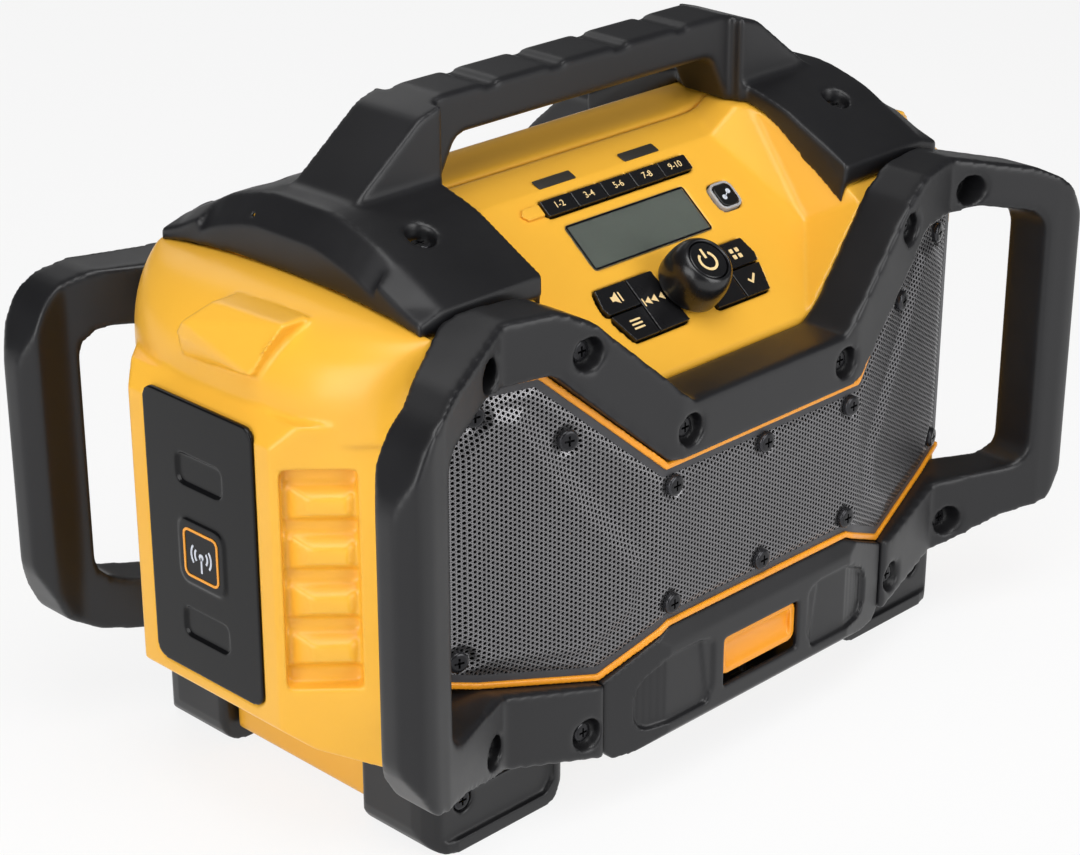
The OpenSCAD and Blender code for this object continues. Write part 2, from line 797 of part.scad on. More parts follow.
module handle() {
    color(black) difference() {
        union() {
            both_sides() hull() {
                prism_x(under(shoulder_top, H - 50), shoulder_in, shoulder_fold);
                prism_x(under(lowered(shoulder_top, 12), H - 50), shoulder_fold, shoulder_out);
            }
            prism_y(handle_outline, -grip_d / 2, grip_d / 2);
            both_sides() intersection() {
                prism_y(handle_outline, -grip_d / 2 - 6, grip_d / 2 + 6);
                block([grip_half + 6, -far, 0], [far, far, far]);
            }
        }
        difference() {
            prism_x(grow(under(cheek_top, base_z), gap), -(W + gap), W + gap);
            translate([0, 0, gap]) console_hollow();
        }
        both_sides() prism_x(under(concat([[-far, H - 35]], skirt_low, [[far, H - 35]]), 0), W, far);
        for (x = groove_x) block([x - groove_w / 2, -far, grip_top - pad_top], [x + groove_w / 2, far, far]);
        at_handle_screws() screw_space(13, handle_shank);
    }
}

// ---- Feet ------------------------------------------------------------------

foot_out = W + 12;
foot_in = W - 66;
foot_step = W + 5 + gap;
foot_side_top = base_z - gap;
foot_rim = 6;
foot_outline = rounded([
    [foot_in + 7, 0, 5], [foot_out, 0, 12], [foot_out, foot_side_top, 2], [foot_step, foot_side_top, 0],
    [foot_step, foot_top, 0], [foot_in, foot_top, 3], [foot_in, 10, 5]
]);
foot_plan = rounded([
    [foot_in, -foot_face, 4], [foot_out, -foot_face, 14], [foot_out, -foot_back, 3], [foot_in, -foot_back, 3]
]);
foot_panel = rounded([
    [foot_in + 11, foot_rim, 4], [foot_out - foot_rim, foot_rim, 4], [foot_out - foot_rim, foot_top - 1, 4],
    [foot_in + foot_rim, foot_top - 1, 4], [foot_in + foot_rim, 12, 4]
]);
module foot(side, end) {
    color(black) mirror([0, end > 0 ? 1 : 0, 0]) on_side(side) difference() {
        intersection() {
            prism_y(foot_outline, -foot_face, -foot_back);
            prism_z(foot_plan, 0, far);
        }
        prism_y(foot_panel, -far, -(foot_face - 2.5));
        facing_front(foot_screw_x, foot_screw_z, foot_face - 3) screw_space(head_d + 1, foot_shank);
    }
}
module foot_front_left() {
    foot(-1, -1);
}
module foot_front_right() {
    foot(1, -1);
}
module foot_rear_left() {
    foot(-1, 1);
}
module foot_rear_right() {
    foot(1, 1);
}

// ---- Grille ----------------------------------------------------------------

module sheet_band(proud, back) {
    out = grille_line(-proud);
    in = grille_line(back);
    prism_z(both([
        [0, -out[0][1]], [out[0][0], -out[0][1]], [out[1][0], -out[1][1]],
        [in[1][0], -in[1][1]], [in[0][0], -in[0][1]], [0, -in[0][1]]
    ]), 0, far);
}
module grille() {
    color(steel) difference() {
        intersection() {
            prism_y(grille_outline(bead), -far, 0);
            sheet_band(0, sheet);
        }
        at_grille_screws() screw_space(shank_d + 0.4, grille_shank);
    }
}
module grille_trim() {
    color(orange) intersection() {
        union() {
            prism_y(strip(shifted(window_low, gap), bead - 2 * gap), -far, 0);
            prism_y(strip(shifted(window_top, gap), bead - 2 * gap), -far, 0);
        }
        sheet_band(1.4, 2.4);
    }
}

// ---- Display and controls --------------------------------------------------

module display_lens() {
    color("#5E6A5F") on_panel() translate([0, 0, -1.5])
        prism_z(box_outline(-lcd_w / 2, 0, lcd_w / 2, lcd_h, 1.5), 0, 1.3);
}
module display_module() {
    color("#3A4038") on_panel() prism_z(box_outline(-lcd_w / 2 + 2, 2, lcd_w / 2 - 2, lcd_h - 2), -8, -1.8);
}

knob_lift = 2.2;
encoder_d = 6;
power_travel = 1;
power_seat = 6;
module tuning_knob() {
    color(black) on_panel(0, knob_s, knob_lift) difference() {
        union() {
            cylinder(d1 = knob_d - 3, d2 = knob_d, h = 3);
            translate([0, 0, 3]) cylinder(d = knob_d, h = knob_h - 8);
            translate([0, 0, knob_h - 5]) cylinder(d1 = knob_d, d2 = power_d + 7, h = 5);
        }
        translate([0, 0, knob_h - power_seat]) cylinder(d = power_d + 0.1, h = far);
        translate([0, 0, -1]) cylinder(d = encoder_d + 0.1, h = knob_h - power_seat - 2);
    }
}
module power_button() {
    color(black) on_panel(0, knob_s, knob_lift) {
        difference() {
            translate([0, 0, knob_h - power_seat + power_travel + gap])
                cylinder(d = power_d, h = power_seat - power_travel - gap - 0.8);
            translate([0, 0, knob_h + 8]) sphere(r = 9.3);
        }
    }
}
module encoder() {
    color(steel) on_panel(0, knob_s, 0) {
        translate([0, 0, -4]) cylinder(d = encoder_d, h = knob_lift + knob_h - power_seat - 3 - gap + 4);
        translate([0, 0, -9.3]) cylinder(d = 10, h = 6);
    }
}

module key(outline) {
    color(black) on_panel() prism_z(outline, -key_depth, key_rise);
}
module preset_key_1() {
    key(preset_outline(0));
}
module preset_key_2() {
    key(preset_outline(1));
}
module preset_key_3() {
    key(preset_outline(2));
}
module preset_key_4() {
    key(preset_outline(3));
}
module preset_key_5() {
    key(preset_outline(4));
}
module key_left_top() {
    key(flipped(key_top_outline));
}
module key_left_mid() {
    key(flipped(key_mid_outline));
}
module key_left_low() {
    key(flipped(key_low_outline));
}
module key_right_top() {
    key(key_top_outline);
}
module key_right_mid() {
    key(key_mid_outline);
}
module key_right_low() {
    key(key_low_outline);
}
module pairing_key() {
    key(pairing_outline);
}
module pairing_ring() {
    color("#D8D8D8") on_panel() difference() {
        prism_z(grow(pairing_outline, ring_w), -key_depth + 1, 1);
        prism_z(grow(pairing_outline, pocket_gap), -far, far);
    }
}

// ---- Door ------------------------------------------------------------------

hinge_y = D - 16;
hinge_z = door_low - 1.5;
knuckle_d = 6;
knuckle_in = 54;
knuckle_out = 65.7;
ear_w = 4;
door_back = D - 13;
door_wall = 3.2;
latch_mid_z = 52.5;
latch_y = D - 3;
latch_back = latch_y - 7;
latch_low = latch_mid_z - latch_h / 2;
latch_high = latch_mid_z + latch_h / 2;
tongue_high = latch_high + 9;
spring_d = 3;
spring_low = 33;
shelf_z = latch_low + 3;
spring_y = D - 11.6;

function door_plan(inset) = both([
    [0, -(D - 0.7 - inset)], [door_half - 33, -(D - 0.7 - inset)], [door_half, -(D - 8.7 - inset)],
    [door_half, -door_back], [0, -door_back]
]);
module door() {
    pocket = box_outline(-latch_w / 2 - gap, latch_low - latch_travel - gap,
                         latch_w / 2 + gap, latch_high + gap);
    color(black) difference() {
        union() {
            difference() {
                intersection() {
                    prism_y(door_outline, -far, 0);
                    prism_z(door_plan(0), 0, far);
                }
                intersection() {
                    prism_y(grow(door_outline, -door_wall), -far, 0);
                    prism_z(concat(
                        both([[0, -(D - 0.7 - door_wall)], [door_half - 33, -(D - 0.7 - door_wall)],
                              [door_half, -(D - 8.7 - door_wall)], [door_half, 0], [0, 0]])
                    ), 0, far);
                }
            }
            block([-8, -(spring_y + 4), spring_low - 4], [8, -door_back, spring_low - gap / 2]);
            for (s = [-1, 1]) on_side(s) {
                rod_x(-hinge_y, hinge_z, knuckle_d, knuckle_in, knuckle_out);
                prism_x([
                    [-(hinge_y + 4.5), hinge_z + 1.5], [-hinge_y, hinge_z - 3], [-hinge_y, hinge_z + 3],
                    [-(hinge_y + 4.5), hinge_z + 6]
                ], knuckle_in, knuckle_out);
            }
        }
        prism_y(pocket, -far, -(door_back + 3));
        for (s = [-1, 1]) prism_y(
            box_outline(s * 52 - 20, 38, s * 52 + 20, 67, 6), -far, -(D - 2));
        both_sides() rod_x(-hinge_y, hinge_z, hinge_d + 0.1, 0, far);
    }
}
module door_latch() {
    color(orange) difference() {
        union() {
            prism_y(box_outline(-latch_w / 2, latch_low, latch_w / 2, latch_high, 3.5), -latch_y, -latch_back);
            block([-12, -latch_back - 1, latch_high - 4], [12, -(door_back + 0.4), tongue_high - 5]);
            block([-5, -latch_back - 1, shelf_z], [5, -(door_back + 0.1), shelf_z + 3]);
        }
        rod_x(-(latch_y + 11), latch_mid_z, 26, -latch_w / 2 + 3, latch_w / 2 - 3);
    }
}
module latch_spring() {
    color(steel) translate([0, -spring_y, spring_low]) difference() {
        cylinder(d = spring_d, h = shelf_z - spring_low - 0.1);
        translate([0, 0, -1]) cylinder(d = spring_d - 1.6, h = far);
    }
}
module door_hinge_pins() {
    color(steel) both_sides() rod_x(-hinge_y, hinge_z, hinge_d, knuckle_in + 1, knuckle_out + gap + ear_w);
}
module door_seal() {
    color(black) prism_y_ring(box_half + 3, box_low - 1.5, box_high + 0.5, box_half - 0.5, box_low + 2, box_high - 2,
                              -(door_back - gap), -(box_mouth + gap));
}
module prism_y_ring(half_out, low_out, high_out, half_in, low_in, high_in, y0, y1) {
    difference() {
        prism_y(box_outline(-half_out, low_out, half_out, high_out, 3), y0, y1);
        prism_y(box_outline(-half_in, low_in, half_in, high_in, 2), -far, far);
    }
}
module door_bracket() {
    plate_back = D - 40;
    color(black) difference() {
        union() {
            block([-knuckle_out - gap - ear_w, -(hinge_y - 0.6), 16.5],
                  [knuckle_out + gap + ear_w, -plate_back, hinge_z - 4.5]);
            block([-50, -plate_back - 8, 16.5], [50, -(tub_flange + gap), base_z - gap]);
            both_sides() {
                rod_x(-hinge_y, hinge_z, knuckle_d, knuckle_out + gap, knuckle_out + gap + ear_w);
                block([knuckle_out + gap, -(hinge_y - 0.6), 16.5],
                      [knuckle_out + gap + ear_w, -(hinge_y - 8), hinge_z + 2.5]);
            }
        }
        both_sides() rod_x(-hinge_y, hinge_z, hinge_d + 0.1, knuckle_in, far);
    }
}

// ---- Behind the door -------------------------------------------------------

usb_x = -35;
aux_x = 30;
socket_z = 58;
module storage_box() {
    color(black) difference() {
        union() {
            block([-box_half, -(rail_back - wall - gap), box_low], [box_half, -box_back, box_high]);
            block([-box_half, -box_mouth, box_low], [box_half, -(rail_back - wall - gap - 1), box_high]);
        }
        block([-(box_half - 2), -far, box_low + 2], [box_half - 2, -(box_back + 2), box_high - 2]);
        block([usb_x - 7, -far, socket_z - 3.5], [usb_x + 7, 0, socket_z + 3.5]);
        rod_y(aux_x, socket_z, 8.2, -far, 0);
    }
}
module usb_socket() {
    color(steel) difference() {
        block([usb_x - 6.8, -(box_back + 3), socket_z - 3.3], [usb_x + 6.8, -(box_back - 12), socket_z + 3.3]);
        block([usb_x - 6, -far, socket_z - 2.5], [usb_x + 6, -(box_back - 9), socket_z + 2.5]);
    }
}
module aux_socket() {
    color(gloss_black) difference() {
        rod_y(aux_x, socket_z, 8, -(box_back + 3), -(box_back - 11));
        rod_y(aux_x, socket_z, 3.6, -far, -(box_back - 9));
    }
}

// ---- Battery bay -----------------------------------------------------------

bay_mouth = rail_back - 2;
bay_back = bay_mouth - bay_d;
bay_wall = 2.5;
module battery_bay() {
    color(black) difference() {
        union() {
            block([-bay_half, bay_back, bay_low], [bay_half, bay_mouth, bay_high]);
        }
        block([-(bay_half - bay_wall), bay_back + bay_wall, bay_low + bay_wall],
              [bay_half - bay_wall, far, bay_high - bay_wall]);
        for (i = [-2 : 2]) block([i * 9 - 1.2, 0, bay_high - 24], [i * 9 + 1.2, far, bay_high - 8]);
    }
    color(black) both_sides() block([24, bay_back + bay_wall - 0.5, bay_low + bay_wall - 0.5],
                                    [29, bay_back + bay_wall + 8, bay_high - 30]);
}
module battery_terminals() {
    color("goldenrod") for (i = [-2 : 2])
        block([i * 9 - 0.8, bay_back - 4, bay_high - 23], [i * 9 + 0.8, bay_back + 14, bay_high - 9]);
    color(gloss_black) block([-24, bay_back - 7, bay_high - 26], [24, bay_back - gap, bay_high - 6]);
}

// ---- Electronics -----------------------------------------------------------

board_z = base_z + wall + 6;
module main_board() {
    color(board_green) block([-60, -50, board_z], [60, 30, board_z + 1.6]);
    color(board_green) for (x = [-54, 54], y = [-44, 24]) translate([x, y, base_z + wall - 0.5 + gap]) standoff();
}
module standoff() {
    translate([0, 0, 0.3]) cylinder(d = 6, h = board_z - base_z - wall - 0.2);
}
module key_board() {
    color(board_green) on_panel() difference() {
        prism_z(box_outline(-56, -42, 66, 42, 2), -11, -9.4);
        translate([0, knob_s, -20]) cylinder(d = encoder_d + 1, h = 30);
    }
}
module power_supply() {
    color(board_green) block([70, -50, board_z], [140, 20, board_z + 1.6]);
    color(steel) {
        block([76, -44, board_z + 1.5], [104, -16, board_z + 28]);
        translate([120, 0, board_z + 1.5]) cylinder(d = 18, h = 26);
    }
    color(board_green) for (x = [76, 134], y = [-44, 14]) translate([x, y, base_z + wall - 0.5 + gap]) standoff();
}
module mains_inlet() {
    color(gloss_black) difference() {
        union() {
            block([inlet_x - inlet_w / 2, rail_back - 34, inlet_z - inlet_h / 2],
                  [inlet_x + inlet_w / 2, rail_back - 8, inlet_z + inlet_h / 2]);
        }
        prism_y(box_outline(inlet_x - 9, inlet_z - 6, inlet_x + 9, inlet_z + 6, 5), rail_back - 28, far);
    }
    color(steel) for (s = [-1, 1]) rod_y(inlet_x + s * 4.5, inlet_z, 2.4, rail_back - 30, rail_back - 14);
}
module antenna() {
    wall_face = rail_back - wall - 2 * gap;
    color("goldenrod") block([-56, wall_face - 0.8, H - 80], [56, wall_face, H - 70]);
}

// ---- Speakers --------------------------------------------------------------

woofer_seat = lookup(woofer_x, grille_line(sheet + gap + wall));
module on_woofer(side) {
    on_side(side) translate([woofer_x, -woofer_seat + 0.8, speaker_z]) rotate([0, 0, wing_turn])
        rotate([-90, 0, 0]) children();
}
module woofer(side) {
    magnet_h = 14;
    basket_h = 34;
    color(gloss_black) on_woofer(side) difference() {
        union() {
            cylinder(d = woofer_d, h = 3);
            translate([0, 0, 2.9]) cylinder(d1 = woofer_d - 12, d2 = 50, h = basket_h - 12);
            translate([0, 0, basket_h - 9.2]) cylinder(d = 60, h = magnet_h);
        }
        translate([0, 0, -1]) cylinder(d = woofer_d - 14, h = 4.2);
        translate([0, 0, 3.1]) cylinder(d1 = woofer_d - 16, d2 = 40, h = basket_h - 15);
    }
}
module cone(side) {
    color("#2A2A2C") on_woofer(side) difference() {
        union() {
            translate([0, 0, 0.6]) cylinder(d = woofer_d - 14.4, h = 2);
            translate([0, 0, 2.5]) cylinder(d1 = woofer_d - 22, d2 = 30, h = 15);
        }
        translate([0, 0, -0.2]) cylinder(d1 = woofer_d - 22, d2 = 26, h = 16);
    }
}
module woofer_left() {
    woofer(-1);
}
module woofer_right() {
    woofer(1);
}
module cone_left() {
    cone(-1);
}
module cone_right() {
    cone(1);
}

// ---- Screws ----------------------------------------------------------------

module frame_screws() {
    color("#1A1A1C") at_frame_screws() pan_screw(frame_shank);
}
module grille_screws() {
    color("#1A1A1C") at_grille_screws() pan_screw(grille_shank);
}
module handle_screws() {
    color("#1A1A1C") at_handle_screws() pan_screw(handle_shank);
}
module foot_screws() {
    color("#1A1A1C") at_foot_screws() pan_screw(foot_shank);
}
module rear_screws() {
    color("#1A1A1C") at_rear_screws() pan_screw(rear_shank);
}

front_housing();
rear_housing();
bottom_tub();
left_pod();
right_pod();
left_side_panel();
right_side_panel();
front_frame();
rear_frame();
handle();
foot_front_left();
foot_front_right();
foot_rear_left();
foot_rear_right();
grille();
grille_trim();
display_lens();
display_module();
tuning_knob();
power_button();
encoder();
preset_key_1();
preset_key_2();
preset_key_3();
preset_key_4();
preset_key_5();
key_left_top();
key_left_mid();
key_left_low();
key_right_top();
key_right_mid();
key_right_low();
pairing_key();
pairing_ring();
door();
door_latch();
latch_spring();
door_hinge_pins();
door_seal();
door_bracket();
storage_box();
usb_socket();
aux_socket();
battery_bay();
battery_terminals();
main_board();
key_board();
power_supply();
mains_inlet();
woofer_left();
woofer_right();
cone_left();
cone_right();
antenna();
frame_screws();
grille_screws();
handle_screws();
foot_screws();
rear_screws();
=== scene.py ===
"""Jobsite radio in a roll cage: the looks of every piece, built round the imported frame.

Places are given in millimetres in the radio's own axes (X to its right, Y to its back, Z up)
and turned into metres where a mesh is made.
"""

import json
import logging
import math
from collections.abc import Callable, Iterator, Sequence
from contextlib import contextmanager
from dataclasses import dataclass, field
from enum import Enum

import bmesh
import bpy
from mathutils import Matrix, Vector

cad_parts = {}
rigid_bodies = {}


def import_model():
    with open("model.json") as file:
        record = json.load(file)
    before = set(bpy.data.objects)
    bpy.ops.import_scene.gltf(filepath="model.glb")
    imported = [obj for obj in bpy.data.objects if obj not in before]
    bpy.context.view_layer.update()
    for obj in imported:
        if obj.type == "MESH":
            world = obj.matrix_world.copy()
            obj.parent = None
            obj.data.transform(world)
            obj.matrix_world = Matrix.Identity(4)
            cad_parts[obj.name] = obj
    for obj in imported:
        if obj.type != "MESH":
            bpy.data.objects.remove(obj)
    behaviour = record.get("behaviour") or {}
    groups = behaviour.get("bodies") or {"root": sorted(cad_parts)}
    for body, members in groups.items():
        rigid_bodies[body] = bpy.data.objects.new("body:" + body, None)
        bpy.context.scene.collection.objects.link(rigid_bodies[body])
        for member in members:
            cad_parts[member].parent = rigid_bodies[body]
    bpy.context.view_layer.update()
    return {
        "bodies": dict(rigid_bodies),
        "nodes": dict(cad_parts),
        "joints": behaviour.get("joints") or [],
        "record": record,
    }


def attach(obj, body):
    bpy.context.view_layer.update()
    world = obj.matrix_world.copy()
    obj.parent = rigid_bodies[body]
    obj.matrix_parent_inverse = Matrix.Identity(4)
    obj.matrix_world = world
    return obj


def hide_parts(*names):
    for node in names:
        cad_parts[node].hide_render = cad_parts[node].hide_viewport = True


LOG = logging.getLogger("radio")
MM = 0.001
MERGE = 1e-6
IMAGE_WIDTH = 1080

Point2 = tuple[float, float]
Point3 = tuple[float, float, float]
FaceTest = Callable[[bmesh.types.BMFace], bool]


class Side(Enum):
    """Left or right half of the radio, seen from the front."""

    LEFT = -1
    RIGHT = 1


class End(Enum):
    """Front or rear end of the radio."""

    FRONT = -1
    REAR = 1


class Skin(Enum):
    """How a softened moulding is made: its squares in millimetres and its smoothing passes."""

    CONSOLE = (1.25, 4)
    BAFFLE = (2.5, 2)
    REAR_HOUSING = (2.3, 3)
    TUB = (1.9, 3)
    POD = (1.15, 7)
    SIDE_PANEL = (0.72, 3)
    FRAME = (1.5, 9)
    HANDLE = (1.3, 9)
    FOOT = (1.0, 5)
    TRIM = (0.6, 4)
    KEY = (0.4, 2)
    RING = (0.35, 1)
    DOOR = (0.85, 3)
    LATCH = (0.5, 4)


class Shade:
    """Angles in degrees past which an edge stays sharp."""

    ROUND_ALL = 180.0
    MACHINED = 60.0
    TURNED = 50.0
    PLAIN = 40.0
    SCREW = 35.0
    SHEET = 30.0


def linear(code: str) -> tuple[float, float, float, float]:
    """Turn a display colour into the linear one that shaders use.

    Args:
        code: the colour as six hexadecimal digits.

    Returns:
        Red, green, blue and a full alpha.
    """
    parts = [int(code[i:i + 2], 16) / 255 for i in (0, 2, 4)]
    low = [c / 12.92 if c <= 0.04045 else ((c + 0.055) / 1.055) ** 2.4 for c in parts]
    return (low[0], low[1], low[2], 1.0)


def smooth_step(value: float) -> float:
    """Ease a value from 0 to 1, with level ends."""
    clipped = min(1.0, max(0.0, value))
    return clipped * clipped * (3 - 2 * clipped)


def moved(x: float, y: float, z: float) -> Matrix:
    """Return the move by a distance in millimetres."""
    return Matrix.Translation(Vector((x, y, z)) * MM)


def turned_about(axis: str, angle: float) -> Matrix:
    """Return the turn about an axis by an angle in degrees."""
    return Matrix.Rotation(math.radians(angle), 4, axis)


# ---- Shader nodes ------------------------------------------------------------


def add_node(tree: bpy.types.NodeTree, kind: str, inputs: dict | None = None,
             **settings: object) -> bpy.types.Node:
    """Add a node to a shader tree.

    Args:
        tree: the tree.
        kind: the node's type, without the word ShaderNode before it.
        inputs: values of its inputs, by name or number.
        settings: its own settings.

    Returns:
        The node.
    """
    node = tree.nodes.new(f"ShaderNode{kind}")
    for key, value in settings.items():
        setattr(node, key, value)
    for key, value in (inputs or {}).items():
        node.inputs[key].default_value = value
    return node


def wire(tree: bpy.types.NodeTree, *wires: tuple) -> None:
    """Connect nodes of a tree.

    Args:
        tree: the tree.
        wires: for each connection a node, its output, the next node and its input.
    """
    for source, output, target, entry in wires:
        tree.links.new(source.outputs[output], target.inputs[entry])


class GroupKit:
    """The node groups that every finish shares, each of them built once."""

    clean = (0.5, 0.5, 0.5, 1.0)
    rubbed = (0.8, 0.8, 0.8, 1.0)
    slow_detail = {"Detail": 4.0, "Roughness": 0.6}
    edge_range = {"From Min": 0.52, "From Max": 0.60}
    wear_cloud = {"Scale": 55.0, "Detail": 5.0}
    upward_range = {"From Min": 0.2}
    dust_cloud = {"Scale": 30.0, "Detail": 6.0}
    dust_colour = "B9B4A8"

    def __init__(self) -> None:
        """Build the three groups."""
        self.grain = self._grain()
        self.wear = self._wear()
        self.dust = self._dust()

    @staticmethod
    def _open(name: str, inputs: dict[str, object], outputs: dict[str, str]) -> bpy.types.NodeTree:
        """Open a group with its sockets.

        Args:
            name: the group's name.
            inputs: socket names with their starting values.
            outputs: socket names with their socket types.

        Returns:
            The group, with its input and output nodes in place.
        """
        tree = bpy.data.node_groups.new(name, "ShaderNodeTree")
        for socket, value in inputs.items():
            kind = "NodeSocketColor" if isinstance(value, tuple) else "NodeSocketFloat"
            tree.interface.new_socket(socket, in_out="INPUT", socket_type=kind).default_value = value
        for socket, kind in outputs.items():
            tree.interface.new_socket(socket, in_out="OUTPUT", socket_type=kind)
        tree.nodes.new("NodeGroupInput").name = "in"
        tree.nodes.new("NodeGroupOutput").name = "out"
        return tree

    @staticmethod
    def _cover(tree: bpy.types.NodeTree, spread: bpy.types.Node, clouds: dict[str, float]) -> bpy.types.Node:
        """Mix a second colour in by the group's amount, in clouds where a spread allows it.

        Args:
            tree: the group.
            spread: the node whose result says where the second colour may lie.
            clouds: the clouds' scale and detail.

        Returns:
            The mixing node; its input B is the second colour.
        """
        start, end = tree.nodes["in"], tree.nodes["out"]
        place = add_node(tree, "TexCoord")
        cloud = add_node(tree, "TexNoise", clouds)
        patch = add_node(tree, "Math", operation="MULTIPLY")
        scaled = add_node(tree, "Math", operation="MULTIPLY")
        mix = add_node(tree, "Mix", data_type="RGBA")
        wire(tree,
             (place, "Object", cloud, "Vector"),
             (spread, "Result", patch, 0),
             (cloud, "Fac", patch, 1),
             (patch, 0, scaled, 0),
             (start, "Amount", scaled, 1),
             (scaled, 0, mix, "Factor"),
             (start, "Colour", mix, "A"),
             (mix, "Result", end, "Colour"))
        return mix

    def _grain(self) -> bpy.types.NodeTree:
        """Build fine moulded grain: a height, and a slow mottle for colour and roughness.

        Returns:
            The group.
        """
        tree = self._open("moulded grain", {"Grain Scale": 2200.0, "Mottle Scale": 18.0},
                          {"Height": "NodeSocketFloat", "Mottle": "NodeSocketFloat"})
        start, end = tree.nodes["in"], tree.nodes["out"]
        place = add_node(tree, "TexCoord")
        fine = add_node(tree, "TexNoise", {"Detail": 2.0})
        slow = add_node(tree, "TexNoise", self.slow_detail)
        wire(tree,
             (place, "Object", fine, "Vector"),
             (place, "Object", slow, "Vector"),
             (start, "Grain Scale", fine, "Scale"),
             (start, "Mottle Scale", slow, "Scale"),
             (fine, "Fac", end, "Height"),
             (slow, "Fac", end, "Mottle"))
        return tree

    def _wear(self) -> bpy.types.NodeTree:
        """Build edge wear: rubbed corners turn towards the worn colour.

        Returns:
            The group.
        """
        tree = self._open("edge wear", {"Colour": self.clean, "Worn": self.rubbed, "Amount": 0.5},
                          {"Colour": "NodeSocketColor"})
        shape = add_node(tree, "NewGeometry")
        edge = add_node(tree, "MapRange", self.edge_range)
        mix = self._cover(tree, edge, self.wear_cloud)
        wire(tree,
             (shape, "Pointiness", edge, "Value"),
             (tree.nodes["in"], "Worn", mix, "B"))
        return tree

    def _dust(self) -> bpy.types.NodeTree:
        """Build dust: a thin pale film in patches on the faces that look up.

        Returns:
            The group.
        """
        tree = self._open("dust film", {"Colour": self.clean, "Amount": 0.05},
                          {"Colour": "NodeSocketColor"})
        shape = add_node(tree, "NewGeometry")
        axes = add_node(tree, "SeparateXYZ")
        upward = add_node(tree, "MapRange", self.upward_range)
        mix = self._cover(tree, upward, self.dust_cloud)
        mix.inputs["B"].default_value = linear(self.dust_colour)
        wire(tree,
             (shape, "Normal", axes, 0),
             (axes, "Z", upward, "Value"))
        return tree


# ---- Finishes ----------------------------------------------------------------


@dataclass(frozen=True)
class Finish:
    """A finish: what it is called, its colours and how its surface behaves.

    Attributes:
        name: the material's name.
        colour: display colour of the clean surface.
        shade: display colour of the slow mottle.
        worn: display colour of rubbed edges.
        rough: roughness of the darkest and the lightest mottle.
        wear: strength of the edge wear.
        dust: strength of the dust film.
        grain: scale of the grain, and its depth in millimetres.
        metallic: 1 on bare metal.
        coat: strength of a clear gloss over the colour.
        specular: strength of the plain reflection.
        coat_rough: roughness of the clear gloss.
        mottle: the slow mottle's values between which the roughness runs.
    """

    name: str
    colour: str
    shade: str
    worn: str
    rough: tuple[float, float] = (0.35, 0.45)
    wear: float = 0.3
    dust: float = 0.04
    grain: tuple[float, float] = (2200.0, 0.02)
    metallic: float = 0.0
    coat: float = 0.0
    specular: float = 0.5
    coat_rough: float = 0.08
    mottle: tuple[float, float] = (0.3, 0.7)

    def build(self, groups: GroupKit) -> bpy.types.Material:
        """Make the material.

        Args:
            groups: the shared node groups.

        Returns:
            The finished material.
        """
        material = bpy.data.materials.new(self.name)
        material.use_nodes = True
        tree = material.node_tree
        shader = tree.nodes["Principled BSDF"]
        shader.inputs["Metallic"].default_value = self.metallic
        shader.inputs["Coat Weight"].default_value = self.coat
        shader.inputs["Coat Roughness"].default_value = self.coat_rough
        shader.inputs["Specular IOR Level"].default_value = self.specular
        grain = add_node(tree, "Group", {"Grain Scale": self.grain[0]}, node_tree=groups.grain)
        tone = add_node(tree, "Mix", {"A": linear(self.colour), "B": linear(self.shade)}, data_type="RGBA")
        wear = add_node(tree, "Group", {"Worn": linear(self.worn), "Amount": self.wear},
                        node_tree=groups.wear)
        dust = add_node(tree, "Group", {"Amount": self.dust}, node_tree=groups.dust)
        rough = add_node(tree, "MapRange", {"From Min": self.mottle[0], "From Max": self.mottle[1],
                                            "To Min": self.rough[0], "To Max": self.rough[1]})
        bump = add_node(tree, "Bump", {"Distance": self.grain[1] * MM})
        wire(tree,
             (grain, "Mottle", tone, "Factor"),
             (tone, "Result", wear, "Colour"),
             (wear, "Colour", dust, "Colour"),
             (dust, "Colour", shader, "Base Color"),
             (grain, "Mottle", rough, "Value"),
             (rough, "Result", shader, "Roughness"),
             (grain, "Height", bump, "Height"),
             (bump, "Normal", shader, "Normal"))
        return material


@dataclass(frozen=True)
class ClearFinish(Finish):
    """A clear finish: light passes through it."""

    transmission: float = 0.9
    bending: float = 1.3

    def build(self, groups: GroupKit) -> bpy.types.Material:
        """Make the material and let light through it.

        Args:
            groups: the shared node groups.

        Returns:
            The finished material.
        """
        material = super().build(groups)
        shader = material.node_tree.nodes["Principled BSDF"]
        shader.inputs["Transmission Weight"].default_value = self.transmission
        shader.inputs["IOR"].default_value = self.bending
        return material


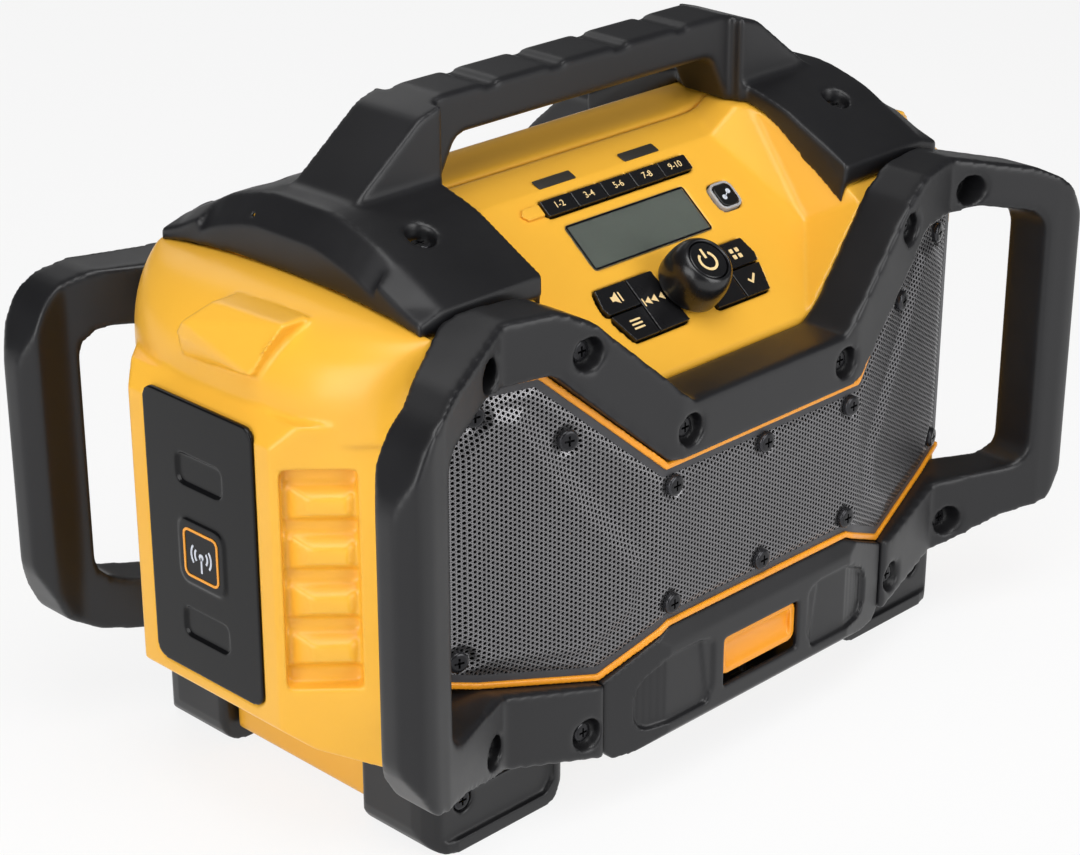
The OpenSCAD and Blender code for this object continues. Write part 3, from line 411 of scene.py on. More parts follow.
class Palette(Enum):
    """Every finish on the radio, by the record's material slot or by its own use."""

    YELLOW = Finish("yellow_moulded", "F6BA3E", "F1B236", "FFD06A", (0.28, 0.36), 0.25, 0.02,
                    (1800.0, 0.012), specular=0.45)
    BLACK = Finish("black_moulded", "131315", "18181B", "424248", (0.34, 0.44), 0.3, 0.012,
                   (2400.0, 0.02), specular=0.45)
    GLOSS_BLACK = Finish("black_gloss", "08080A", "0B0B0D", "303036", (0.16, 0.22), 0.2, 0.005,
                         (900.0, 0.004), coat=0.05, specular=0.22)
    KEYS = Finish("black_keys", "0C0C0E", "111114", "3A3A40", (0.24, 0.32), 0.25, 0.01,
                  (1500.0, 0.006), coat=0.1)
    GRILLE = Finish("grille_sheet", "8E8D8F", "828183", "D8D8D8", (0.30, 0.42), 0.5, 0.03,
                    (1200.0, 0.01), metallic=0.85)
    # Painted shade: the rim is the grille sheet's own grey steel, coloured dark here to stand in for the
    # shade along the bead.
    RIM = Finish("grille_margin_painted_shade", "2A2A2D", "303033", "6A6A6E", (0.34, 0.46), 0.3, 0.02,
                 (1800.0, 0.01), specular=0.4)
    ORANGE = Finish("orange_trim", "F8A21F", "F39A1C", "FFC25A", (0.26, 0.34), 0.25, 0.02,
                    (1800.0, 0.01))
    LENS = ClearFinish("display_window", "D6DCD6", "CFD6CF", "FFFFFF", (0.03, 0.05), 0.0, 0.0,
                       (400.0, 0.002))
    DISPLAY = Finish("liquid_crystal", "3C483B", "434F42", "505C4C", (0.30, 0.34), 0.0, 0.0,
                     (2600.0, 0.006))
    CLEAR = ClearFinish("clear_plastic", "E4E4E6", "DADADD", "FFFFFF", (0.15, 0.22), 0.1, 0.0,
                        (900.0, 0.004), transmission=0.5)
    STEEL = Finish("plated_steel", "B4B4B2", "9C9C9A", "E8E8E8", (0.22, 0.36), 0.4, 0.02,
                   (3000.0, 0.01), metallic=1.0)
    SCREWS = Finish("black_screws", "1A1A1D", "242427", "77777C", (0.18, 0.30), 0.7, 0.03,
                    (2600.0, 0.01), metallic=0.6)
    SEAL = Finish("rubber_seal", "17171A", "1D1D20", "333338", (0.6, 0.75), 0.2, 0.08,
                  (2600.0, 0.03))
    BOARD = Finish("coated_board", "1F5A34", "26663C", "7FA37C", (0.32, 0.45), 0.2, 0.06,
                   (1600.0, 0.02))
    BRASS = Finish("brass_contacts", "C9A24A", "B58F3C", "F0DC9C", (0.22, 0.36), 0.5, 0.02,
                   (3000.0, 0.008), metallic=1.0)
    CONE = Finish("paper_cone", "1E1E20", "262628", "3C3C3E", (0.7, 0.85), 0.2, 0.06,
                  (700.0, 0.08))
    CLOTH = Finish("acoustic_cloth", "060607", "0A0A0B", "141415", (0.85, 0.95), 0.0, 0.0,
                   (3200.0, 0.05), specular=0.1)
    MARKS = Finish("cream_marks", "F6D9A0", "EFD196", "FFF0CC", (0.40, 0.50), 0.0, 0.0,
                   (2000.0, 0.005))
    PALE_MARKS = Finish("pale_marks", "D9DEE8", "CCD2DD", "FFFFFF", (0.35, 0.45), 0.0, 0.0,
                        (2000.0, 0.005))
    TABS = Finish("dark_tabs", "2B2926", "33302C", "6A675E", (0.35, 0.45), 0.2, 0.02,
                  (1800.0, 0.01))


# ---- Modelling ---------------------------------------------------------------


def deselect_all() -> None:
    """Leave edit mode and let go of every object."""
    if bpy.context.object and bpy.context.object.mode != "OBJECT":
        bpy.ops.object.mode_set(mode="OBJECT")
    bpy.ops.object.select_all(action="DESELECT")


def every(_face: bmesh.types.BMFace) -> bool:
    """Want every face."""
    return True


def many_sided(face: bmesh.types.BMFace) -> bool:
    """Tell whether a face is the many-sided one inside an inset outline."""
    return len(face.verts) > 4


class Workpiece:
    """One mesh object that is shaped with Blender's own operators."""

    def __init__(self, obj: bpy.types.Object, name: str) -> None:
        """Take over an object and give it and its mesh a name."""
        self.obj = obj
        obj.name = name
        obj.data.name = name

    # -- starts --

    @classmethod
    def block(cls, name: str, low: Point3, high: Point3) -> "Workpiece":
        """Add a block between two corners.

        Args:
            name: the piece's name.
            low: its lowest corner in millimetres.
            high: its highest corner in millimetres.

        Returns:
            The block.
        """
        deselect_all()
        middle = [(a + b) / 2 * MM for a, b in zip(low, high)]
        bpy.ops.mesh.primitive_cube_add(size=1.0, location=middle)
        piece = cls(bpy.context.object, name)
        piece.obj.scale = [(b - a) * MM for a, b in zip(low, high)]
        bpy.ops.object.transform_apply(location=True, rotation=True, scale=True)
        return piece

    @classmethod
    def grid(cls, name: str, columns: int, rows: int) -> "Workpiece":
        """Add a flat grid of one metre each way, round the origin.

        Args:
            name: the piece's name.
            columns: its squares across.
            rows: its squares the other way.

        Returns:
            The grid.
        """
        deselect_all()
        bpy.ops.mesh.primitive_grid_add(x_subdivisions=columns, y_subdivisions=rows, size=1.0)
        return cls(bpy.context.object, name)

    @classmethod
    def plate(cls, name: str, outline: Sequence[Point2], thick: float) -> "Workpiece":
        """Add a flat plate: a circle drawn out to the outline, then extruded upward.

        Args:
            name: the piece's name.
            outline: the outline's points in millimetres, counter-clockwise.
            thick: the plate's thickness in millimetres; 0 leaves a single face.

        Returns:
            The plate, with its underside on the plane Z = 0.
        """
        deselect_all()
        bpy.ops.mesh.primitive_circle_add(vertices=len(outline), radius=1.0, fill_type="NGON")
        piece = cls(bpy.context.object, name)
        for vertex, (x, y) in zip(piece.obj.data.vertices, outline):
            vertex.co = (x * MM, y * MM, 0.0)
        if thick:
            with piece.editing():
                bpy.ops.mesh.select_all(action="SELECT")
                bpy.ops.mesh.extrude_region_move(TRANSFORM_OT_translate={"value": (0, 0, thick * MM)})
            piece.face_outward()
        return piece

    @classmethod
    def turned(cls, name: str, sides: int, rings: Sequence[Point2]) -> "Workpiece":
        """Raise a round piece ring by ring: each ring is extruded, lifted and widened.

        Args:
            name: the piece's name.
            sides: the number of sides of each ring.
            rings: (radius, height) of each ring in millimetres, from the first end to the last.

        Returns:
            The piece, turned about the Z axis and closed at both ends.
        """
        deselect_all()
        radius, height = rings[0]
        bpy.ops.mesh.primitive_circle_add(vertices=sides, radius=radius * MM, location=(0, 0, height * MM))
        piece = cls(bpy.context.object, name)
        bpy.ops.object.transform_apply(location=True, rotation=False, scale=False)
        with piece.editing():
            bpy.ops.mesh.select_all(action="SELECT")
            bpy.ops.mesh.edge_face_add()
            bpy.ops.mesh.select_all(action="SELECT")
            bpy.ops.mesh.select_mode(type="EDGE")
            for wide, high in rings[1:]:
                bpy.ops.mesh.extrude_edges_move(
                    TRANSFORM_OT_translate={"value": (0, 0, (high - height) * MM)})
                bpy.ops.transform.resize(value=(wide / radius, wide / radius, 1.0),
                                         center_override=(0, 0, high * MM))
                radius, height = wide, high
            bpy.ops.mesh.edge_face_add()
            bpy.ops.mesh.select_all(action="SELECT")
            bpy.ops.mesh.remove_doubles(threshold=MERGE / 10)
        return piece.face_outward()

    @classmethod
    def copy_of(cls, node: bpy.types.Object, name: str) -> "Workpiece":
        """Copy a CAD node's mesh into a new piece and merge its loose triangles.

        Args:
            node: the CAD node.
            name: the piece's name.

        Returns:
            The copy.
        """
        obj = bpy.data.objects.new(name, node.data.copy())
        bpy.context.scene.collection.objects.link(obj)
        piece = cls(obj, name)
        with piece.editing():
            bpy.ops.mesh.select_all(action="SELECT")
            bpy.ops.mesh.remove_doubles(threshold=MERGE)
        return piece

    # -- shaping --

    def hold(self) -> None:
        """Select this piece alone and make it the active one."""
        deselect_all()
        self.obj.select_set(True)
        bpy.context.view_layer.objects.active = self.obj

    @contextmanager
    def editing(self) -> Iterator[bmesh.types.BMesh]:
        """Hold the piece in edit mode, with nothing else selected."""
        self.hold()
        bpy.ops.object.mode_set(mode="EDIT")
        yield bmesh.from_edit_mesh(self.obj.data)
        bpy.ops.object.mode_set(mode="OBJECT")

    def face_outward(self) -> "Workpiece":
        """Turn every face outward."""
        with self.editing():
            bpy.ops.mesh.select_all(action="SELECT")
            bpy.ops.mesh.normals_make_consistent(inside=False)
        return self

    def _pick(self, mesh: bmesh.types.BMesh, wanted: FaceTest) -> None:
        """Select the faces that pass a test.

        Args:
            mesh: the mesh in edit mode.
            wanted: the test.
        """
        bpy.ops.mesh.select_mode(type="FACE")
        bpy.ops.mesh.select_all(action="DESELECT")
        for face in mesh.faces:
            face.select_set(wanted(face))
        bmesh.update_edit_mesh(self.obj.data)

    def extrude(self, offset: Point3, wanted: FaceTest) -> "Workpiece":
        """Extrude some faces.

        Args:
            offset: how far they move, in millimetres.
            wanted: the test that picks them.

        Returns:
            The same piece.
        """
        with self.editing() as mesh:
            self._pick(mesh, wanted)
            bpy.ops.mesh.extrude_region_move(
                TRANSFORM_OT_translate={"value": tuple(c * MM for c in offset)})
        return self

    def inset(self, width: float, wanted: FaceTest = every) -> "Workpiece":
        """Inset some faces.

        Args:
            width: how far their edges move in, in millimetres.
            wanted: the test that picks them.

        Returns:
            The same piece.
        """
        with self.editing() as mesh:
            self._pick(mesh, wanted)
            bpy.ops.mesh.inset(thickness=width * MM, depth=0.0)
        return self

    def remove(self, wanted: FaceTest) -> "Workpiece":
        """Delete some faces.

        Args:
            wanted: the test that picks them.

        Returns:
            The same piece.
        """
        with self.editing() as mesh:
            self._pick(mesh, wanted)
            bpy.ops.mesh.delete(type="FACE")
        return self

    def bisect(self, through: Point3, normal: Point3) -> "Workpiece":
        """Cut the piece by a plane and close the cut.

        Args:
            through: a point of the plane in millimetres.
            normal: the plane's normal, which points to the side that is dropped.

        Returns:
            The same piece.
        """
        with self.editing():
            bpy.ops.mesh.select_all(action="SELECT")
            bpy.ops.mesh.bisect(plane_co=tuple(c * MM for c in through), plane_no=normal,
                                use_fill=True, clear_outer=True)
        return self

    def modify(self, kind: str, **settings: object) -> "Workpiece":
        """Add a modifier and apply it.

        Args:
            kind: the modifier's type.
            settings: its settings.

        Returns:
            The same piece.
        """
        self.hold()
        modifier = self.obj.modifiers.new(kind.lower(), kind)
        for key, value in settings.items():
            setattr(modifier, key, value)
        bpy.ops.object.modifier_apply(modifier=modifier.name)
        return self

    def repeat(self, count: int, step: Point3, merge: bool) -> "Workpiece":
        """Lay out copies in a row, each a step in millimetres from the last, merged or loose."""
        return self.modify("ARRAY", count=count, use_relative_offset=False, use_constant_offset=True,
                           constant_offset_displace=[c * MM for c in step], use_merge_vertices=merge,
                           merge_threshold=MERGE)

    def bevel(self, width: float, segments: int) -> "Workpiece":
        """Round every edge sharper than 30 degrees, with a width in millimetres."""
        return self.modify("BEVEL", width=width * MM, segments=segments, limit_method="ANGLE",
                           angle_limit=math.radians(Shade.SHEET), harden_normals=False)

    def soften(self, skin: Skin) -> "Workpiece":
        """Turn the piece into one closed skin and round its edges off.

        Args:
            skin: how fine the skin is and how far it is smoothed.

        Returns:
            The same piece.
        """
        voxel, passes = skin.value
        self.modify("REMESH", mode="VOXEL", voxel_size=voxel * MM)
        return self.modify("SMOOTH", factor=0.5, iterations=passes)

    def cut(self, tool: "Workpiece") -> "Workpiece":
        """Take another piece's volume out of this one, and let go of that piece.

        Args:
            tool: the other piece.

        Returns:
            The same piece.
        """
        self.modify("BOOLEAN", object=tool.obj, operation="DIFFERENCE", solver="EXACT")
        bpy.data.objects.remove(tool.obj)
        return self

    def place(self, matrix: Matrix) -> "Workpiece":
        """Move and turn the piece into its place, and settle that in its mesh.

        Args:
            matrix: the move and the turn.

        Returns:
            The same piece.
        """
        self.hold()
        self.obj.matrix_world = matrix @ self.obj.matrix_world
        bpy.ops.object.transform_apply(location=True, rotation=True, scale=True)
        return self

    def bend(self, shape: Callable[[Vector], Vector]) -> "Workpiece":
        """Move every vertex to where a form puts it.

        Args:
            shape: gives a vertex's new place from its old one.

        Returns:
            The same piece.
        """
        for vertex in self.obj.data.vertices:
            vertex.co = shape(vertex.co)
        self.obj.data.update()
        return self

    def duplicate(self, name: str) -> "Workpiece":
        """Copy the piece, with a mesh of its own.

        Args:
            name: the copy's name.

        Returns:
            The copy.
        """
        obj = self.obj.copy()
        obj.data = self.obj.data.copy()
        bpy.context.scene.collection.objects.link(obj)
        return Workpiece(obj, name)

    def join(self, others: Sequence["Workpiece"]) -> "Workpiece":
        """Take other pieces into this one.

        Args:
            others: the pieces.

        Returns:
            The same piece.
        """
        self.hold()
        for piece in others:
            piece.obj.select_set(True)
        bpy.ops.object.join()
        return self


@dataclass
class Workshop:
    """What every sub-assembly needs: the CAD frame and the finishes."""

    frame: dict
    materials: dict[Palette, bpy.types.Material]

    def node(self, name: str) -> bpy.types.Object:
        """Return a CAD node by name."""
        return self.frame["nodes"][name]

    def dress(self, piece: Workpiece, finish: Palette, body: str, replaces: Sequence[str] = (),
              slot: str = "", angle: float = Shade.PLAIN) -> None:
        """Dress a piece and hand it to its body.

        Args:
            piece: the piece.
            finish: its finish.
            body: the CAD body that it rides on.
            replaces: the CAD nodes that it stands for.
            slot: the record's material slot that it belongs to; not used.
            angle: edges sharper than this stay sharp.
        """
        piece.hold()
        bpy.ops.object.shade_smooth_by_angle(angle=math.radians(angle))
        piece.obj.data.materials.clear()
        piece.obj.data.materials.append(self.materials[finish])
        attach(piece.obj, body)
        if replaces:
            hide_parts(*replaces)
        LOG.info("%s: %d faces on %s", piece.obj.name, len(piece.obj.data.polygons), body)

    def soft_shell(self, name: str, body: str, finish: Palette, skin: Skin) -> None:
        """Give a CAD node the rounded edges of a moulding, and let the result stand for it.

        Args:
            name: the CAD node.
            body: the body that it rides on.
            finish: the shell's finish.
            skin: how fine its skin is and how far it is smoothed.
        """
        piece = Workpiece.copy_of(self.node(name), f"{name}_shell").soften(skin)
        self.dress(piece, finish, body, [name], angle=Shade.ROUND_ALL)


# ---- Outlines --------------------------------------------------------------------


def rounded_box(x0: float, y0: float, x1: float, y1: float, radius: float, steps: int = 6) -> list[Point2]:
    """Draw a rectangle with rounded corners, counter-clockwise.

    Args:
        x0: its left edge.
        y0: its lower edge.
        x1: its right edge.
        y1: its upper edge.
        radius: the corners' radius.
        steps: the parts of each corner.

    Returns:
        The outline's points.
    """
    corners = [(x1 - radius, y0 + radius, -90), (x1 - radius, y1 - radius, 0),
               (x0 + radius, y1 - radius, 90), (x0 + radius, y0 + radius, 180)]
    return [(cx + radius * math.cos(math.radians(start + 90 * k / steps)),
             cy + radius * math.sin(math.radians(start + 90 * k / steps)))
            for cx, cy, start in corners for k in range(steps + 1)]


def dense_outline(outline: Sequence[Point2], step: float) -> list[Point2]:
    """Add points to an outline, so that none are further apart than a step.

    Args:
        outline: the outline's points.
        step: the largest distance between two of them.

    Returns:
        The outline with its extra points.
    """
    points: list[Point2] = []
    for i, (x1, z1) in enumerate(outline):
        x0, z0 = outline[i - 1]
        parts = max(1, math.ceil(math.hypot(x1 - x0, z1 - z0) / step))
        points += [(x0 + (x1 - x0) * k / parts, z0 + (z1 - z0) * k / parts) for k in range(parts)]
    return points


def depth_inside(x: float, z: float, outline: Sequence[Point2]) -> float:
    """Measure how deep inside an outline a point lies.

    Args:
        x: the point's place across.
        z: its height.
        outline: the outline's points.

    Returns:
        The distance to the outline, above 0 inside it and below 0 outside.
    """
    nearest, inside = math.inf, False
    for i, (x1, z1) in enumerate(outline):
        x0, z0 = outline[i - 1]
        dx, dz = x1 - x0, z1 - z0
        part = max(0.0, min(1.0, ((x - x0) * dx + (z - z0) * dz) / (dx * dx + dz * dz)))
        nearest = min(nearest, math.hypot(x - x0 - part * dx, z - z0 - part * dz))
        if (z0 > z) != (z1 > z) and x < x0 + (z - z0) / (z1 - z0) * (x1 - x0):
            inside = not inside
    return nearest if inside else -nearest


def arc_mark(name: str, radius: float, width: float, thick: float, span: tuple[float, float],
             steps: int = 24) -> Workpiece:
    """Make a raised arc.

    Args:
        name: the piece's name.
        radius: the arc's middle radius in millimetres.
        width: the width of its line.
        thick: how far it stands proud.
        span: its first and last angle in degrees.
        steps: the parts of its length.

    Returns:
        The arc, on the plane Z = 0.
    """
    turn = [math.radians(span[0] + (span[1] - span[0]) * k / steps) for k in range(steps + 1)]
    outer = [((radius + width / 2) * math.cos(a), (radius + width / 2) * math.sin(a)) for a in turn]
    inner = [((radius - width / 2) * math.cos(a), (radius - width / 2) * math.sin(a)) for a in reversed(turn)]
    return Workpiece.plate(name, outer + inner, thick)


# ---- Control panel's own axes ----------------------------------------------------

PANEL_POINT = (0.0, -54.3, 219.9)
PANEL_TILT = 38.87
PANEL = moved(*PANEL_POINT) @ turned_about("X", PANEL_TILT)


def on_panel(x: float, s: float, lift: float) -> Matrix:
    """Return the place of a point of the control panel: across, up the slope and above it."""
    return PANEL @ moved(x, s, lift)


# ---- Yellow mouldings ------------------------------------------------------------


@dataclass
class Housing:
    """The yellow middle housing, the tub under it and the two side pods."""

    shop: Workshop
    console_cut: float = 176.0
    side_x: float = 161.5
    pods_out: float = 214.0
    lobe_squares: tuple[int, int] = (30, 60)
    lobe_back: float = 9.0
    lobe_low: float = 199.0
    lobe_base: float = 8.0
    lobe_end: float = 86.0
    lobe_power: float = 2.3
    lobe_end_power: float = 2.8
    roof_z: float = 238.6
    roof_fall: float = 7.4
    roof_half: float = 92.0
    wedge_deep: float = 24.0
    wedge_back: float = 5.5
    wedge_top: tuple[float, float] = (226.0, 1.15)
    wedge_foot: tuple[float, float] = (215.0, 0.6)
    wedge_line: list[Point2] = field(default_factory=lambda: [
        (19.0, 210.0), (18.0, 220.0), (14.0, 226.0), (5.0, 234.5), (-38.0, 235.5), (-33.0, 226.0),
        (-27.0, 213.0)])

    def build(self) -> None:
        """Build every moulding of the housing."""
        self.console()
        self.shop.soft_shell("rear_housing", "body", Palette.YELLOW, Skin.REAR_HOUSING)
        self.shop.soft_shell("bottom_tub", "body", Palette.YELLOW, Skin.TUB)
        for side in Side:
            self.pod(side)

    def console(self) -> None:
        """Split the front housing, so that the console above the cut has a finer skin."""
        for name, way, skin in (("console_shell", -1, Skin.CONSOLE), ("baffle_shell", 1, Skin.BAFFLE)):
            shell = Workpiece.copy_of(self.shop.node("front_housing"), name)
            shell.bisect((0, 0, self.console_cut), (0, 0, way)).soften(skin)
            self.shop.dress(shell, Palette.YELLOW, "body", ["front_housing"], angle=Shade.ROUND_ALL)

    def pod(self, side: Side) -> None:
        """Give a side pod its swelling upper lobe and soften the whole of it.

        Args:
            side: the pod's side.
        """
        node = f"{side.name.lower()}_pod"
        pod = Workpiece.copy_of(self.shop.node(node), f"{node}_shell")
        pod.bisect((0, 0, self.lobe_low + 1.0), (0, 0, 1))
        pod.join([self.lobe(side), self.wedge(side)]).soften(Skin.POD)
        self.shop.dress(pod, Palette.YELLOW, "body", [node], angle=Shade.ROUND_ALL)

    def lobe(self, side: Side) -> Workpiece:
        """Swell a pod's upper lobe out from under the handle's skirt: a grid, closed downward and rounded.

        Args:
            side: the pod's side.

        Returns:
            The lobe, as a closed block.
        """
        lobe = Workpiece.grid("pod_lobe", *self.lobe_squares)
        with lobe.editing():
            bpy.ops.mesh.select_all(action="SELECT")
            bpy.ops.mesh.extrude_region_move(TRANSFORM_OT_translate={"value": (0, 0, -1.0)})
        return lobe.bend(lambda co: self.on_lobe(co, side)).face_outward()

    def on_lobe(self, co: Vector, side: Side) -> Vector:
        """Carry a point of the lobe's grid onto its rounded back, or one of the lower copy onto its base.

        Args:
            co: the point of the grid, in its own half-unit square.
            side: the pod's side.

        Returns:
            The point's place in metres.
        """
        y = 2 * co.y * (self.lobe_end - 1.0)
        reach = self.pods_out - self.lobe_back - self.side_x
        wide = reach * math.sqrt(1 - abs(y / self.lobe_end) ** self.lobe_end_power)
        high = self.roof_z - self.roof_fall * (y / self.roof_half) ** 2 - self.lobe_low
        turn = (co.x + 0.5) * math.pi / 2
        x = self.side_x + wide * math.sin(turn) ** (2 / self.lobe_power)
        z = self.lobe_low + high * max(0.0, math.cos(turn)) ** (2 / self.lobe_power)
        if co.z < -0.5:
            z = self.lobe_low - self.lobe_base
        return Vector((side.value * x, y, z)) * MM

    def wedge(self, side: Side) -> Workpiece:
        """Make the wedge that stands proud of a lobe, with its outer face leaning in at the top.

        Args:
            side: the pod's side.

        Returns:
            The wedge, as a closed block.
        """
        def lean(co: Vector) -> Vector:
            """Stand the block up on the pod's side and lean its outer face.

            Args:
                co: a point of the flat block.

            Returns:
                The point's place.
            """
            y, z = co.x / MM, co.y / MM
            x = self.pods_out - self.wedge_back - self.wedge_deep + co.z / MM
            if co.z > 1.0 * MM:
                top_z, top_lean = self.wedge_top
                foot_z, foot_lean = self.wedge_foot
                x -= top_lean * max(0.0, z - top_z) + foot_lean * max(0.0, foot_z - z)
            return Vector((side.value * x, y, z)) * MM

        return Workpiece.plate("pod_wedge", self.wedge_line, self.wedge_deep).bend(lean).face_outward()


@dataclass
class SidePanels:
    """The pods' dark inset panels, each with a badge of a coloured outline and a plain wave mark."""

    shop: Workshop
    face_x: float = 215.25
    badge_z: float = 127.0
    badge_half: float = 11.2
    badge_corner: float = 3.5
    outline_wide: float = 1.1
    outline_rise: float = 0.5
    wave_radii: Point2 = (4.0, 6.4)
    wave_half: float = 38.0
    line: float = 1.0
    mark_rise: float = 0.3
    dot_sides: int = 24
    dot_radius: float = 1.5
    mast_down: float = 7.4

    def build(self) -> None:
        """Dress both panels and their badges."""
        for side in Side:
            name = side.name.lower()
            self.shop.soft_shell(f"{name}_side_panel", "body", Palette.GLOSS_BLACK, Skin.SIDE_PANEL)
            flip = turned_about("Z", 180 if side is Side.LEFT else 0)
            stand = (moved(side.value * self.face_x, 0, self.badge_z) @ flip
                     @ turned_about("Z", 90) @ turned_about("X", 90))
            half = self.badge_half
            ring = Workpiece.plate(f"{name}_badge_outline",
                                   rounded_box(-half, -half, half, half, self.badge_corner), 0.0)
            ring.inset(self.outline_wide).remove(many_sided).extrude((0, 0, self.outline_rise), every)
            self.shop.dress(ring.place(stand), Palette.ORANGE, "body")
            marks = self.waves(f"{name}_badge_waves")
            self.shop.dress(marks.place(stand), Palette.PALE_MARKS, "body", slot="clear")

    def waves(self, name: str) -> Workpiece:
        """Make the wave mark: two arcs at each side of a dot on a mast.

        Args:
            name: the mark's name.

        Returns:
            The mark, on the plane Z = 0.
        """
        half = self.wave_half
        arcs = [arc_mark(name, radius, self.line, self.mark_rise, (middle - half, middle + half))
                for radius in self.wave_radii for middle in (0.0, 180.0)]
        dot = Workpiece.turned(f"{name}_dot", self.dot_sides,
                               [(self.dot_radius, 0.0), (self.dot_radius, self.mark_rise)])
        mast = Workpiece.block(f"{name}_mast", (-self.line / 2, -self.mast_down, 0.0),
                               (self.line / 2, 0.0, self.mark_rise))
        return arcs[0].join([*arcs[1:], dot, mast])


# ---- Roll cage -------------------------------------------------------------------


@dataclass
class RollCage:
    """The black cage: two frames with grab loops, the handle and four feet."""

    shop: Workshop
    cover_in: float = 97.5
    cover_fold: float = 153.0
    cover_out: float = 165.2
    cover_slope_from: float = 237.5
    cover_drop: float = 6.0
    cover_line: list[Point2] = field(default_factory=lambda: [
        (55.0, 237.2), (66.0, 235.4), (81.0, 232.3), (81.0, 241.0), (68.0, 248.0), (55.0, 254.4)])

    def build(self) -> None:
        """Soften every moulding of the cage."""
        for name in ("front_frame", "rear_frame"):
            self.shop.soft_shell(name, "body", Palette.BLACK, Skin.FRAME)
        handle = Workpiece.copy_of(self.shop.node("handle"), "handle_shell")
        handle.join([self.cover_end(side, end) for side in Side for end in End]).soften(Skin.HANDLE)
        self.shop.dress(handle, Palette.BLACK, "body", ["handle"], angle=Shade.ROUND_ALL)
        for end in End:
            for side in Side:
                foot = f"foot_{end.name.lower()}_{side.name.lower()}"
                self.shop.soft_shell(foot, "body", Palette.BLACK, Skin.FOOT)

    def cover_end(self, side: Side, end: End) -> Workpiece:
        """Fill out one end of a shoulder cover, so that its skirt keeps its height down to the frame.

        Args:
            side: the cover's side.
            end: the end of the cover.

        Returns:
            The filling, with its outer top edge sloped like the cover's.
        """
        fold = self.cover_fold - self.cover_in

        def stand(co: Vector) -> Vector:
            """Stand the block up across the radio and drop its outer top edge.

            Args:
                co: a point of the flat block.

            Returns:
                The point's place.
            """
            y, z = co.x / MM, co.y / MM
            if co.z > (fold + 1.0) * MM and z > self.cover_slope_from:
                z = max(z - self.cover_drop, self.cover_slope_from)
            return Vector((side.value * (self.cover_in + co.z / MM), end.value * y, z)) * MM

        block = Workpiece.plate("cover_end", self.cover_line, fold)
        block.extrude((0, 0, self.cover_out - self.cover_fold),
                      lambda face: face.calc_center_median().z > (fold - 1.0) * MM)
        return block.bend(stand).face_outward()


# ---- Grille ----------------------------------------------------------------------


@dataclass(frozen=True)
class FrontLine:
    """The grille's line across the radio, a flat middle between two wings that run back, and its screws."""

    flat_half: float = 65.0
    edge_x: float = 170.0
    mid_y: float = -119.0
    edge_y: float = -88.0
    soft: float = 2.0
    wing_turn: float = 16.45
    screws: tuple[Point2, ...] = (
        (150.2, 199.5), (109.2, 180.0), (58.7, 147.4), (58.7, 92.0), (158.3, 91.7), (0.0, 91.9), (0.0, 148.4))

    def slope(self) -> float:
        """Return how far a wing runs back for each millimetre across."""
        return (self.edge_y - self.mid_y) / (self.edge_x - self.flat_half)

    def depth(self, x: float) -> float:
        """Return how far back the line runs at a place across the radio."""
        past = abs(x) - self.flat_half
        return self.mid_y + self.slope() * (past + math.sqrt(past * past + self.soft * self.soft)) / 2


